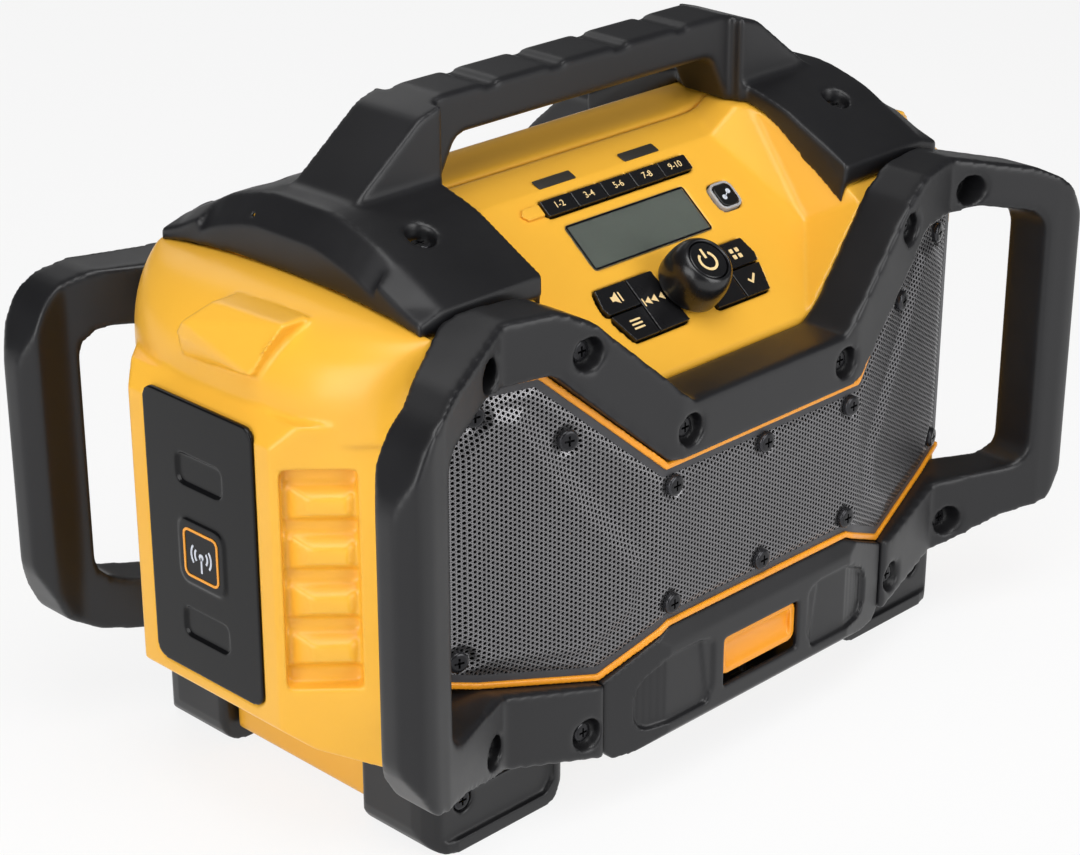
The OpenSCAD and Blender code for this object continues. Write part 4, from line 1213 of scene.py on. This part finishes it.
@dataclass
class Grille:
    """The wrapped steel grille: a pressed perforated sheet, its plain rim, the cloth and the bead."""

    shop: Workshop
    line: FrontLine
    sheets: dict[str, Point2] = field(default_factory=lambda: {
        "left": (-170.0, -62.0), "middle": (-62.0, 62.0), "right": (62.0, 170.0)})
    pitch: float = 2.25
    hole: float = 1.45
    thick: float = 0.6
    lift: float = 1.1
    lift_run: float = 5.0
    rim: float = 3.0
    rim_lap: float = 0.8
    rim_lift: float = 0.12
    rim_step: float = 4.0
    bead: float = 3.5
    hole_lap: float = 0.6
    sheet_join: float = 0.01
    dome_rise: float = 2.2
    dome_run: float = 9.0
    dome_from: float = 61.0
    dimple: float = 4.6
    dimple_run: float = 3.2
    shank_room: float = 2.6
    cloth_back: float = 0.85
    cloth_squares: tuple[int, int] = (120, 56)
    window: list[Point2] = field(default_factory=lambda: [
        (59.8, 81.0), (94.3, 64.5), (150.0, 76.0), (170.0, 82.0),
        (170.0, 212.0), (121.0, 212.5), (62.5, 159.0)])
    dome: list[Point2] = field(default_factory=lambda: [
        (76.0, 92.0), (100.0, 76.0), (150.0, 84.0), (161.0, 102.0), (161.0, 184.0), (146.0, 204.0),
        (128.0, 200.0), (110.0, 170.0), (72.0, 118.0)])
    outline: list[Point2] = field(init=False)
    low_z: float = field(init=False)
    top_z: float = field(init=False)

    def __post_init__(self) -> None:
        """Mirror the window into the whole outline, and note its lowest and highest point."""
        self.outline = self.window + [(-x, z) for x, z in reversed(self.window)]
        self.low_z = min(z for _, z in self.window)
        self.top_z = max(z for _, z in self.window)

    def build(self) -> None:
        """Make the sheet in three panels, then the rim, the cloth and the bead."""
        for name, (low, high) in self.sheets.items():
            self.panel(f"grille_sheet_{name}", low, high)
        self.rim_band()
        self.cloth()
        self.shop.soft_shell("grille_trim", "body", Palette.ORANGE, Skin.TRIM)

    def pressed(self, x: float, z: float) -> float:
        """Tell how far the press has pushed the sheet outward: rim, domes and screw dimples.

        Args:
            x: the place across.
            z: the height.

        Returns:
            The push in millimetres.
        """
        wide = abs(x)
        inward = depth_inside(x, z, self.outline) - self.bead - self.rim + 1
        rise = self.lift * smooth_step(inward / self.lift_run)
        if wide > self.dome_from:
            rise += self.dome_rise * smooth_step(depth_inside(wide, z, self.dome) / self.dome_run)
        for sx, sz in self.line.screws:
            rise *= smooth_step((math.hypot(wide - sx, z - sz) - self.dimple) / self.dimple_run)
        return rise

    def wrap(self, co: Vector) -> Vector:
        """Carry a point of the flat sheet (across, up, outward) onto the radio's front."""
        x, z, out = co.x / MM, co.y / MM, co.z / MM
        return Vector((x, self.line.depth(x) - out - self.pressed(x, z), z)) * MM

    def cell(self) -> Workpiece:
        """Make one cell of the sheet: a hexagon with a hole that has walls.

        Returns:
            The cell.
        """
        deselect_all()
        radius = self.pitch / math.sqrt(3)
        bpy.ops.mesh.primitive_circle_add(vertices=6, radius=radius * MM, fill_type="NGON")
        cell = Workpiece(bpy.context.object, "grille_cell")
        with cell.editing():
            bpy.ops.mesh.select_all(action="SELECT")
            bpy.ops.mesh.inset(thickness=(self.pitch - self.hole) / 2 * MM)
            bpy.ops.mesh.extrude_region_move(TRANSFORM_OT_translate={"value": (0, 0, -self.thick * MM)})
            bpy.ops.mesh.delete(type="FACE")
        return cell

    def panel(self, name: str, low: float, high: float) -> None:
        """Lay out the cells between two places across the radio and press them into shape.

        Args:
            name: the panel's name.
            low: its left limit in millimetres.
            high: its right limit in millimetres.
        """
        row = self.pitch * math.sqrt(3) / 2
        columns = int((high - low) / row) + 4
        rows = int((self.top_z - self.low_z) / self.pitch) + 2
        sheet = self.cell().repeat(rows, (0, self.pitch, 0), True)
        sheet.join([sheet.duplicate("grille_column").place(moved(row, self.pitch / 2, 0))])
        sheet.repeat(columns // 2 + 1, (2 * row, 0, 0), False)
        sheet.place(moved(math.floor(low / (2 * row)) * 2 * row, self.low_z, 0))
        with sheet.editing():
            bpy.ops.mesh.select_all(action="SELECT")
            bpy.ops.mesh.remove_doubles(threshold=MERGE)
        kept: dict[Point2, bool] = {}

        def spare(face: bmesh.types.BMFace) -> bool:
            """Tell whether a face belongs to a cell that the panel doesn't keep.

            Args:
                face: a face of the laid-out sheet.

            Returns:
                Whether it goes.
            """
            middle = face.calc_center_median() / MM
            column = round(middle.x / row)
            shift = self.pitch / 2 if column % 2 else 0.0
            level = round((middle.y - self.low_z - shift) / self.pitch)
            spot = (column * row, self.low_z + shift + level * self.pitch)
            if spot not in kept:
                kept[spot] = low <= spot[0] - self.sheet_join < high and self.holed(*spot)
            return not kept[spot]

        sheet.remove(spare).bend(self.wrap)
        self.shop.dress(sheet, Palette.GRILLE, "body", ["grille"], angle=Shade.SHEET)

    def holed(self, x: float, z: float) -> bool:
        """Tell whether the sheet has a hole at a place, inside its rim and clear of the screws' shanks."""
        clear = all(math.hypot(abs(x) - sx, z - sz) > self.shank_room for sx, sz in self.line.screws)
        return clear and depth_inside(x, z, self.outline) > self.bead + self.rim - self.hole_lap

    def rim_band(self) -> None:
        """Make the plain rim round the holes: the window's outline, inset twice, dressed in a dark finish
        that is painted shade along the bead.
        """
        band = Workpiece.plate("grille_rim", dense_outline(self.outline, self.rim_step), 0.0)
        band.inset(self.bead - self.rim_lap).remove(lambda face: not many_sided(face))
        band.inset(self.rim + self.rim_lap).remove(many_sided)
        band.bend(lambda co: self.wrap(Vector((co.x, co.y, self.rim_lift * MM))))
        band.modify("SOLIDIFY", thickness=self.thick * MM, offset=-1.0)
        # The rim's dark finish is painted shade along the bead, not the steel's own colour.
        self.shop.dress(band, Palette.RIM, "body", ["grille"], "grille", Shade.SHEET)

    def cloth(self) -> None:
        """Hang black acoustic cloth close behind the sheet."""
        cloth = Workpiece.grid("grille_cloth", *self.cloth_squares)
        wide = 2 * (self.line.edge_x - self.bead)
        high = self.top_z - self.low_z

        def outside(face: bmesh.types.BMFace) -> bool:
            """Tell whether a face lies outside the window, or under the bead."""
            middle = face.calc_center_median() / MM
            return depth_inside(middle.x, middle.y, self.outline) < self.bead

        cloth.bend(lambda co: Vector((co.x * wide * MM, (self.low_z + (co.y + 0.5) * high) * MM, 0)))
        cloth.remove(outside)
        cloth.bend(lambda co: Vector((co.x, (self.line.depth(co.x / MM) + self.cloth_back) * MM, co.y)))
        self.shop.dress(cloth, Palette.CLOTH, "body", ["grille"], "grille")


# ---- Controls --------------------------------------------------------------------


@dataclass
class Controls:
    """The display, the keys with their marks, and the knob with the power button in it."""

    shop: Workshop
    key_rise: float = 1.4
    mark_thick: float = 0.12
    digit_size: float = 4.6
    digit_swell: float = 0.01
    preset_left: float = -43.0
    preset_pitch: float = 18.6
    preset_mid: float = 34.5
    presets: tuple[str, ...] = ("1-2", "3-4", "5-6", "7-8", "9-10")
    lcd_box: tuple[float, float, float, float] = (-37.8, 0.2, 37.8, 24.3)
    mask_corner: float = 1.4
    mask_wide: float = 0.9
    mask_thick: float = 0.1
    mask_lift: float = -0.14
    screen_corner: float = 1.2
    screen_thick: float = 0.05
    screen_lift: float = -1.57
    knob_s: float = -22.0
    knob_lift: float = 2.2
    button_lift: float = 17.2
    symbol_lift: float = 20.86
    symbol_thick: float = 0.2
    symbol_radius: float = 4.4
    symbol_line: float = 1.25
    symbol_span: Point2 = (125.0, 415.0)
    symbol_bar: tuple[Point2, Point2] = ((-0.65, 1.4), (0.65, 6.4))
    knob_sides: int = 96
    button_sides: int = 72
    knob_rings: list[Point2] = field(default_factory=lambda: [
        (13.6, 0.0), (14.3, 0.3), (14.9, 1.2), (15.2, 3.0), (15.25, 6.0), (15.15, 9.0), (14.8, 12.0),
        (14.2, 14.6), (13.3, 16.8), (12.3, 18.4), (11.4, 19.3), (10.8, 19.75), (10.3, 19.85),
        (9.95, 19.6), (9.75, 18.9), (9.6, 18.0), (9.6, 13.6)])
    button_rings: list[Point2] = field(default_factory=lambda: [
        (9.3, 0.0), (9.3, 3.6), (9.1, 4.0), (8.7, 4.25), (8.2, 4.2), (7.0, 3.95), (5.0, 3.7),
        (3.0, 3.55), (1.0, 3.5)])
    pairing_at: Point2 = (57.0, 13.0)
    pairing_dot: Point2 = (2.0, 1.2)
    pairing_dot_radius: float = 1.3
    pairing_dot_sides: int = 20
    pairing_bar: list[Point2] = field(default_factory=lambda: [
        (-2.2, -1.7), (-1.8, -1.0), (2.2, 1.6), (1.8, 0.8)])
    pointer: list[Point2] = field(default_factory=lambda: [
        (-56.6, 34.5), (-54.0, 31.6), (-44.2, 31.6), (-44.2, 37.6), (-54.0, 37.6)])
    pointer_thick: float = 1.5
    pointer_round: float = 0.6
    tabs: dict[str, tuple[float, float, float, float]] = field(default_factory=lambda: {
        "left_tab": (-37.0, 0.8, -14.0, 6.4), "right_tab": (17.0, 0.8, 39.7, 6.4)})
    tab_corner: float = 0.8
    tab_thick: float = 0.35
    tab_round: float = 0.12
    sunk: float = 0.1
    crease_point: Point3 = (0.0, -20.2, 247.4)
    crease_tilt: float = 23.1

    def build(self) -> None:
        """Build every control."""
        self.display()
        self.knob()
        self.preset_keys()
        self.function_keys()
        self.pairing()
        self.console_details()

    def display(self) -> None:
        """Lay a black surround under the window's edge and a screen below it."""
        mask = Workpiece.plate("display_surround", rounded_box(*self.lcd_box, self.mask_corner), 0.0)
        mask.inset(self.mask_wide).remove(many_sided)
        mask.modify("SOLIDIFY", thickness=self.mask_thick * MM, offset=1.0)
        mask.place(on_panel(0, 0, self.mask_lift))
        self.shop.dress(mask, Palette.GLOSS_BLACK, "body")
        screen = Workpiece.plate("display_screen", rounded_box(*self.lcd_box, self.screen_corner),
                                 self.screen_thick)
        self.shop.dress(screen.place(on_panel(0, 0, self.screen_lift)), Palette.DISPLAY, "body")

    def knob(self) -> None:
        """Turn the knob's rounded barrel and the dished power button, and set the symbol on the button."""
        knob = Workpiece.turned("tuning_knob_barrel", self.knob_sides, self.knob_rings)
        knob.place(on_panel(0, self.knob_s, self.knob_lift))
        self.shop.dress(knob, Palette.KEYS, "knob", ["tuning_knob"], angle=Shade.TURNED)
        button = Workpiece.turned("power_button_disc", self.button_sides, self.button_rings)
        button.place(on_panel(0, self.knob_s, self.button_lift))
        self.shop.dress(button, Palette.KEYS, "power_button", ["power_button"], angle=Shade.TURNED)
        low, high = self.symbol_bar
        symbol = arc_mark("power_symbol", self.symbol_radius, self.symbol_line, self.symbol_thick,
                          self.symbol_span)
        symbol.join([Workpiece.block("power_bar", (*low, 0.0), (*high, self.symbol_thick))])
        symbol.place(on_panel(0, self.knob_s, self.symbol_lift))
        self.shop.dress(symbol, Palette.MARKS, "power_button", slot="orange")

    def rounded_key(self, name: str) -> None:
        """Replace a CAD key by one with soft edges."""
        self.shop.soft_shell(name, name, Palette.KEYS, Skin.KEY)

    def preset_keys(self) -> None:
        """Round the preset keys and print a plain number on each."""
        for number, text in enumerate(self.presets):
            name = f"preset_key_{number + 1}"
            self.rounded_key(name)
            deselect_all()
            bpy.ops.object.text_add()
            letters = bpy.context.object
            letters.data.body = text
            letters.data.size = self.digit_size * MM
            letters.data.align_x = "CENTER"
            letters.data.align_y = "CENTER"
            letters.data.offset = self.digit_swell * MM
            letters.data.extrude = self.mark_thick / 2 * MM
            bpy.ops.object.convert(target="MESH")
            mark = Workpiece(bpy.context.object, f"{name}_mark")
            middle = self.preset_left + (number + 0.5) * self.preset_pitch
            mark.place(on_panel(middle, self.preset_mid, self.key_rise + self.mark_thick / 2))
            self.shop.dress(mark, Palette.MARKS, name, slot="orange")

    def function_keys(self) -> None:
        """Round the six function keys and put a mark on each."""
        plans: dict[str, tuple[Point2, list[list[Point2]]]] = {
            "key_left_top": ((-38.5, -15.6), self.speaker_mark()),
            "key_left_mid": ((-21.0, -22.0), self.arrows_mark(-1)),
            "key_left_low": ((-37.5, -29.8), self.bars_mark()),
            "key_right_top": ((38.5, -15.6), self.dots_mark()),
            "key_right_mid": ((21.0, -22.0), self.arrows_mark(1)),
            "key_right_low": ((37.5, -29.8), self.tick_mark()),
        }
        for name, (middle, outlines) in plans.items():
            self.rounded_key(name)
            parts = [Workpiece.plate(f"{name}_mark", outline, self.mark_thick) for outline in outlines]
            mark = parts[0].join(parts[1:]).place(on_panel(*middle, self.key_rise))
            self.shop.dress(mark, Palette.MARKS, name, slot="orange")

    @staticmethod
    def arrows_mark(way: int) -> list[list[Point2]]:
        """Return skip arrows that point along the given way: three heads, then a bar."""
        heads = [[(-6.4, -2.0), (-6.4, 2.0), (-3.6, 0.0)], [(-2.0, -2.0), (-2.0, 2.0), (1.4, 0.0)],
                 [(1.8, -2.0), (1.8, 2.0), (5.2, 0.0)], [(5.5, -2.0), (6.2, -2.0), (6.2, 2.0), (5.5, 2.0)]]
        return [[(way * x, s) for x, s in head] for head in heads]

    @staticmethod
    def bars_mark() -> list[list[Point2]]:
        """Return three bars, one above the other."""
        return [rounded_box(-3.2, s - 0.45, 3.2, s + 0.45, 0.3, 2) for s in (-2.0, 0.0, 2.0)]

    @staticmethod
    def dots_mark() -> list[list[Point2]]:
        """Return four small squares in a two by two pattern."""
        return [rounded_box(x - 1.1, s - 1.1, x + 1.1, s + 1.1, 0.4, 2)
                for x in (-1.8, 1.8) for s in (-1.6, 1.6)]

    @staticmethod
    def speaker_mark() -> list[list[Point2]]:
        """Return a plain loudspeaker shape with a bar beside it."""
        return [[(-3.6, -1.2), (-2.0, -1.2), (0.4, -3.0), (0.4, 3.0), (-2.0, 1.2), (-3.6, 1.2)],
                rounded_box(1.6, -2.4, 2.5, 2.4, 0.3, 2)]

    @staticmethod
    def tick_mark() -> list[list[Point2]]:
        """Return a tick."""
        return [[(-3.0, 0.2), (-2.2, 1.0), (-0.9, -0.4), (2.4, 2.8), (3.2, 2.0), (-0.9, -2.1)]]

    def pairing(self) -> None:
        """Round the pairing key, dress its clear ring and mark it with two joined dots."""
        self.rounded_key("pairing_key")
        self.shop.soft_shell("pairing_ring", "body", Palette.CLEAR, Skin.RING)
        radius = self.pairing_dot_radius
        across, up = self.pairing_dot
        rings = [(radius, 0.0), (radius, self.mark_thick)]
        dots = [Workpiece.turned("pairing_mark", self.pairing_dot_sides, rings).place(
            moved(side.value * across, side.value * up, 0)) for side in Side]
        bar = Workpiece.plate("pairing_bar", self.pairing_bar, self.mark_thick)
        mark = dots[0].join([dots[1], bar]).place(on_panel(*self.pairing_at, self.key_rise))
        self.shop.dress(mark, Palette.PALE_MARKS, "pairing_key", slot="clear")

    def console_details(self) -> None:
        """Add the pointer beside the presets and the two bare tabs above the crease."""
        pointer = Workpiece.plate("preset_pointer", self.pointer, self.pointer_thick)
        pointer.bevel(self.pointer_round, 3).place(on_panel(0, 0, -self.sunk))
        self.shop.dress(pointer, Palette.YELLOW, "body", angle=Shade.MACHINED)
        crease = moved(*self.crease_point) @ turned_about("X", self.crease_tilt)
        for name, box in self.tabs.items():
            tab = Workpiece.plate(name, rounded_box(*box, self.tab_corner), self.tab_thick)
            tab.bevel(self.tab_round, 2).place(crease @ moved(0, 0, -self.sunk))
            self.shop.dress(tab, Palette.TABS, "body", slot="keys", angle=Shade.MACHINED)


# ---- Front door ------------------------------------------------------------------


@dataclass
class Door:
    """The storage door, with its sloping bands and four wells, and its sliding latch."""

    shop: Workshop
    face_y: float = -122.3
    bands: tuple[tuple[float, Point3], ...] = ((72.5, (0, -0.936, 0.354)), (30.5, (0, -0.707, -0.707)))
    bend_x: float = 61.3
    wing_slope: float = 0.242
    well_depth: float = 2.3
    tool_deep: float = 12.0
    inner_well: list[Point2] = field(default_factory=lambda: [
        (35.0, 37.0), (36.5, 35.0), (61.3, 35.0), (61.3, 66.5), (59.0, 67.5), (41.0, 67.5), (39.5, 66.5)])
    outer_well: list[Point2] = field(default_factory=lambda: [
        (61.3, 35.0), (71.5, 35.0), (76.0, 37.0), (78.5, 41.0), (78.8, 50.0), (77.6, 56.0), (74.0, 60.5),
        (61.3, 66.5)])

    def build(self) -> None:
        """Cut the door's bands and wells, and soften it and the latch."""
        door = Workpiece.copy_of(self.shop.node("door"), "door_shell")
        for height, normal in self.bands:
            door.bisect((0, self.face_y, height), normal)
        for side in Side:
            for outline in (self.inner_well, self.outer_well):
                door.cut(self.well_tool(outline, side))
        self.shop.dress(door.soften(Skin.DOOR), Palette.BLACK, "door", ["door"], angle=Shade.ROUND_ALL)
        self.shop.soft_shell("door_latch", "latch", Palette.ORANGE, Skin.LATCH)

    def well_tool(self, outline: Sequence[Point2], side: Side) -> Workpiece:
        """Make the block that cuts a well, leaning with the door's face beyond its bend.

        Args:
            outline: the well's outline on the right half, across and up.
            side: the half that it is cut from.

        Returns:
            The cutting block.
        """
        def lean(co: Vector) -> Vector:
            """Stand the block up behind the door's face and give it the face's slope."""
            behind = self.well_depth + self.wing_slope * max(0.0, co.x / MM - self.bend_x)
            return Vector((side.value * co.x, (self.face_y + behind) * MM - co.z, co.y))

        return Workpiece.plate("well_tool", outline, self.tool_deep).bend(lean).face_outward()


# ---- Screws ----------------------------------------------------------------------


@dataclass
class Screws:
    """The black pan-head screws with a cross recess, one piece for each CAD node of them."""

    shop: Workshop
    line: FrontLine
    head_h: float = 2.8
    head_gap: float = 0.05
    shanks: dict[str, float] = field(default_factory=lambda: {
        "frame_screws": 24.0, "rear_screws": 24.0, "foot_screws": 14.0, "handle_screws": 20.0,
        "grille_screws": 8.0})
    front: list[Point3] = field(default_factory=lambda: [
        (51.1, -118.6, 170.8), (104.3, -109.6, 217.8), (155.5, -100.3, 222.3), (154.1, -103.8, 53.9),
        (103.8, -111.4, 43.5)])
    rear: list[Point3] = field(default_factory=lambda: [
        (155.0, 101.0, 209.0), (104.0, 110.0, 212.0), (152.0, 101.0, 54.0), (104.0, 110.0, 46.0)])
    cross: Point2 = (2.3, 0.5)
    cross_deep: float = 1.5
    foot: Point3 = (153.5, 89.0, 22.0)
    handle: Point3 = (132.0, 45.8, 255.0)
    sides: int = 32
    tip_radius: float = 1.4
    tip_high: float = 1.0
    shank_radius: float = 1.95
    head: list[Point2] = field(default_factory=lambda: [
        (4.6, -2.8), (4.75, -2.6), (4.75, -1.1), (4.55, -0.6), (4.1, -0.22), (3.3, -0.03), (2.6, 0.0)])

    def build(self) -> None:
        """Make one screw of each length and set its copies in their places."""
        for name, places in self.places().items():
            screw = self.screw(self.shanks[name])
            copies = [screw.duplicate(f"{name}_copy").place(place) for place in places[1:]]
            screw.place(places[0]).join(copies)
            screw.obj.name = f"{name}_heads"
            self.shop.dress(screw, Palette.SCREWS, "body", [name], angle=Shade.SCREW)

    def places(self) -> dict[str, list[Matrix]]:
        """Work out where every screw goes.

        Returns:
            The screws' places, by the CAD node that they stand for.
        """
        ways = [side.value for side in Side]
        foot_x, foot_y, foot_z = self.foot
        handle_x, handle_y, handle_z = self.handle
        return {
            "frame_screws": [self.facing(s * x, y, z, 0.0) for x, y, z in self.front for s in ways],
            "rear_screws": [self.facing(s * x, y, z, 180.0) for x, y, z in self.rear for s in ways],
            "foot_screws": [self.facing(s * foot_x, way * foot_y, foot_z, 0.0 if way < 0 else 180.0)
                            for s in ways for way in ways],
            "handle_screws": [moved(s * handle_x, way * handle_y, handle_z) for s in ways for way in ways],
            "grille_screws": [self.on_grille(s * x, z) for x, z in self.line.screws
                              for s in (ways if x else (1,))],
        }

    @staticmethod
    def facing(x: float, y: float, z: float, turn: float) -> Matrix:
        """Return the place of a screw whose head looks to the front, or turned about Z from there."""
        return moved(x, y, z) @ turned_about("Z", turn) @ turned_about("X", 90)

    def on_grille(self, x: float, z: float) -> Matrix:
        """Find the place of a grille screw, square to the sheet there.

        Args:
            x: its place across.
            z: its height.

        Returns:
            The place of its head.
        """
        past = max(0.0, abs(x) - self.line.flat_half)
        turn = math.copysign(self.line.wing_turn, x) if past else 0.0
        seat = self.facing(x, self.line.mid_y + past * self.line.slope(), z, turn)
        return seat @ moved(0, 0, self.head_h + self.head_gap)

    def screw(self, shank: float) -> Workpiece:
        """Turn one screw: its head's face is on the plane Z = 0 and its shank runs down.

        Args:
            shank: the shank's length in millimetres.

        Returns:
            The screw, with its cross recess.
        """
        tip = -self.head_h - shank
        screw = Workpiece.turned("screw", self.sides, [
            (self.tip_radius, tip), (self.shank_radius, tip + self.tip_high),
            (self.shank_radius, -self.head_h), *self.head])
        for wide, deep in (self.cross, self.cross[::-1]):
            screw.cut(Workpiece.block("driver", (-wide, -deep, -self.cross_deep), (wide, deep, 1.0)))
        return screw


# ---- Carried-over nodes ----------------------------------------------------------


@dataclass
class CarriedOver:
    """CAD nodes whose shape is right as it is: they get their finish and stay."""

    shop: Workshop

    def build(self) -> None:
        """Give every CAD node the finish of its slot."""
        for part in self.shop.frame["record"]["subparts"]:
            node = self.shop.node(part["node"])
            node.data.materials.clear()
            node.data.materials.append(self.shop.materials[Palette[part["material_slot"].upper()]])
        LOG.info("carried over: %d CAD nodes dressed", len(self.shop.frame["nodes"]))


# ---- Studio ----------------------------------------------------------------------


@dataclass
class Studio:
    """A pale floor, soft lamps and the camera at the photograph's viewing angle."""

    focal_px: float = 2694.969
    place: Point3 = (-823.914, -796.384, 624.735)
    tilt: float = 66.135
    heading: float = -45.377
    sensor: float = 36.0
    near: float = 0.01
    floor_size: float = 14.0
    floor_colour: tuple[float, ...] = (0.93, 0.93, 0.93, 1.0)
    floor_rough: float = 0.9
    floor_white: float = 0.85
    sky_colour: tuple[float, ...] = (0.95, 0.97, 1.0, 1.0)
    sky_strength: float = 0.1
    aim: Point3 = (0.0, 0.0, 0.12)
    lamp_size: float = 1.2
    lamps: dict[str, tuple[Point3, float]] = field(default_factory=lambda: {
        "top_lamp": ((-0.4, -0.5, 1.7), 18.0),
        "left_lamp": ((-1.7, -0.4, 0.7), 17.0),
        "front_lamp": ((0.4, -1.8, 0.7), 17.0),
        "back_lamp": ((0.6, 1.5, 1.4), 4.0)})

    def build(self) -> None:
        """Set up everything that isn't the radio."""
        bpy.context.scene.view_settings.view_transform = "Standard"
        self.floor()
        self.sky()
        for name, (place, power) in self.lamps.items():
            self.lamp(name, place, power)
        self.camera()

    def floor(self) -> None:
        """Lay a large floor that keeps the radio's shadow, and shows white to camera, mirrors and glass."""
        deselect_all()
        bpy.ops.mesh.primitive_plane_add(size=self.floor_size)
        floor = bpy.context.object
        floor.name = "studio_floor"
        material = bpy.data.materials.new("studio_floor")
        material.use_nodes = True
        tree = material.node_tree
        shader = tree.nodes["Principled BSDF"]
        shader.inputs["Base Color"].default_value = self.floor_colour
        shader.inputs["Roughness"].default_value = self.floor_rough
        shader.inputs["Specular IOR Level"].default_value = 0.0
        path = add_node(tree, "LightPath")
        either = add_node(tree, "Math", operation="MAXIMUM", use_clamp=True)
        third = add_node(tree, "Math", operation="MAXIMUM")
        share = add_node(tree, "Math", {1: self.floor_white}, operation="MULTIPLY")
        white = add_node(tree, "Emission")
        mix = add_node(tree, "MixShader")
        wire(tree,
             (path, "Is Camera Ray", either, 0),
             (path, "Is Glossy Ray", either, 1),
             (either, 0, third, 0),
             (path, "Is Transmission Ray", third, 1),
             (third, 0, share, 0),
             (share, 0, mix, "Fac"),
             (shader, "BSDF", mix, 1),
             (white, "Emission", mix, 2),
             (mix, "Shader", tree.nodes["Material Output"], "Surface"))
        floor.data.materials.append(material)

    def sky(self) -> None:
        """Light the radio evenly from all round, and show white behind it."""
        world = bpy.data.worlds.new("studio")
        bpy.context.scene.world = world
        world.use_nodes = True
        tree = world.node_tree
        background = tree.nodes["Background"]
        background.inputs["Color"].default_value = self.sky_colour
        background.inputs["Strength"].default_value = self.sky_strength
        path = add_node(tree, "LightPath")
        white = add_node(tree, "Background", {"Color": (1.0, 1.0, 1.0, 1.0)})
        mix = add_node(tree, "MixShader")
        wire(tree,
             (path, "Is Camera Ray", mix, "Fac"),
             (background, "Background", mix, 1),
             (white, "Background", mix, 2),
             (mix, "Shader", tree.nodes["World Output"], "Surface"))

    def lamp(self, name: str, place: Point3, power: float) -> None:
        """Hang a square soft lamp that looks at the radio.

        Args:
            name: the lamp's name.
            place: where it hangs, in metres.
            power: its power in watts.
        """
        light = bpy.data.lights.new(name, "AREA")
        light.size = self.lamp_size
        light.energy = power
        lamp = bpy.data.objects.new(name, light)
        bpy.context.scene.collection.objects.link(lamp)
        lamp.location = place
        lamp.rotation_euler = (Vector(self.aim) - Vector(place)).to_track_quat("-Z", "Y").to_euler()

    def camera(self) -> None:
        """Put the camera where the photograph was taken from."""
        lens = bpy.data.cameras.new("camera")
        lens.sensor_fit = "HORIZONTAL"
        lens.sensor_width = self.sensor
        lens.lens = self.focal_px / IMAGE_WIDTH * self.sensor
        lens.clip_start = self.near
        camera = bpy.data.objects.new("camera", lens)
        bpy.context.scene.collection.objects.link(camera)
        camera.location = Vector(self.place) * MM
        camera.rotation_euler = (math.radians(self.tilt), 0.0, math.radians(self.heading))
        bpy.context.scene.camera = camera


def corners(box: object) -> list[list[float]]:
    """Return a box's two corners as plain lists."""
    return [[float(v) for v in corner] for corner in box]


def main() -> None:
    """Build the radio's looks, sub-assembly by sub-assembly."""
    logging.basicConfig(level=logging.INFO, format="%(name)s: %(message)s")
    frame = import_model()
    groups = GroupKit()
    shop = Workshop(frame, {entry: entry.value.build(groups) for entry in Palette})
    line = FrontLine()
    Studio().build()
    for part in (CarriedOver(shop), Housing(shop), SidePanels(shop), RollCage(shop), Grille(shop, line),
                 Controls(shop), Door(shop), Screws(shop, line)):
        part.build()
    deselect_all()


if __name__ == "__main__":
    main()
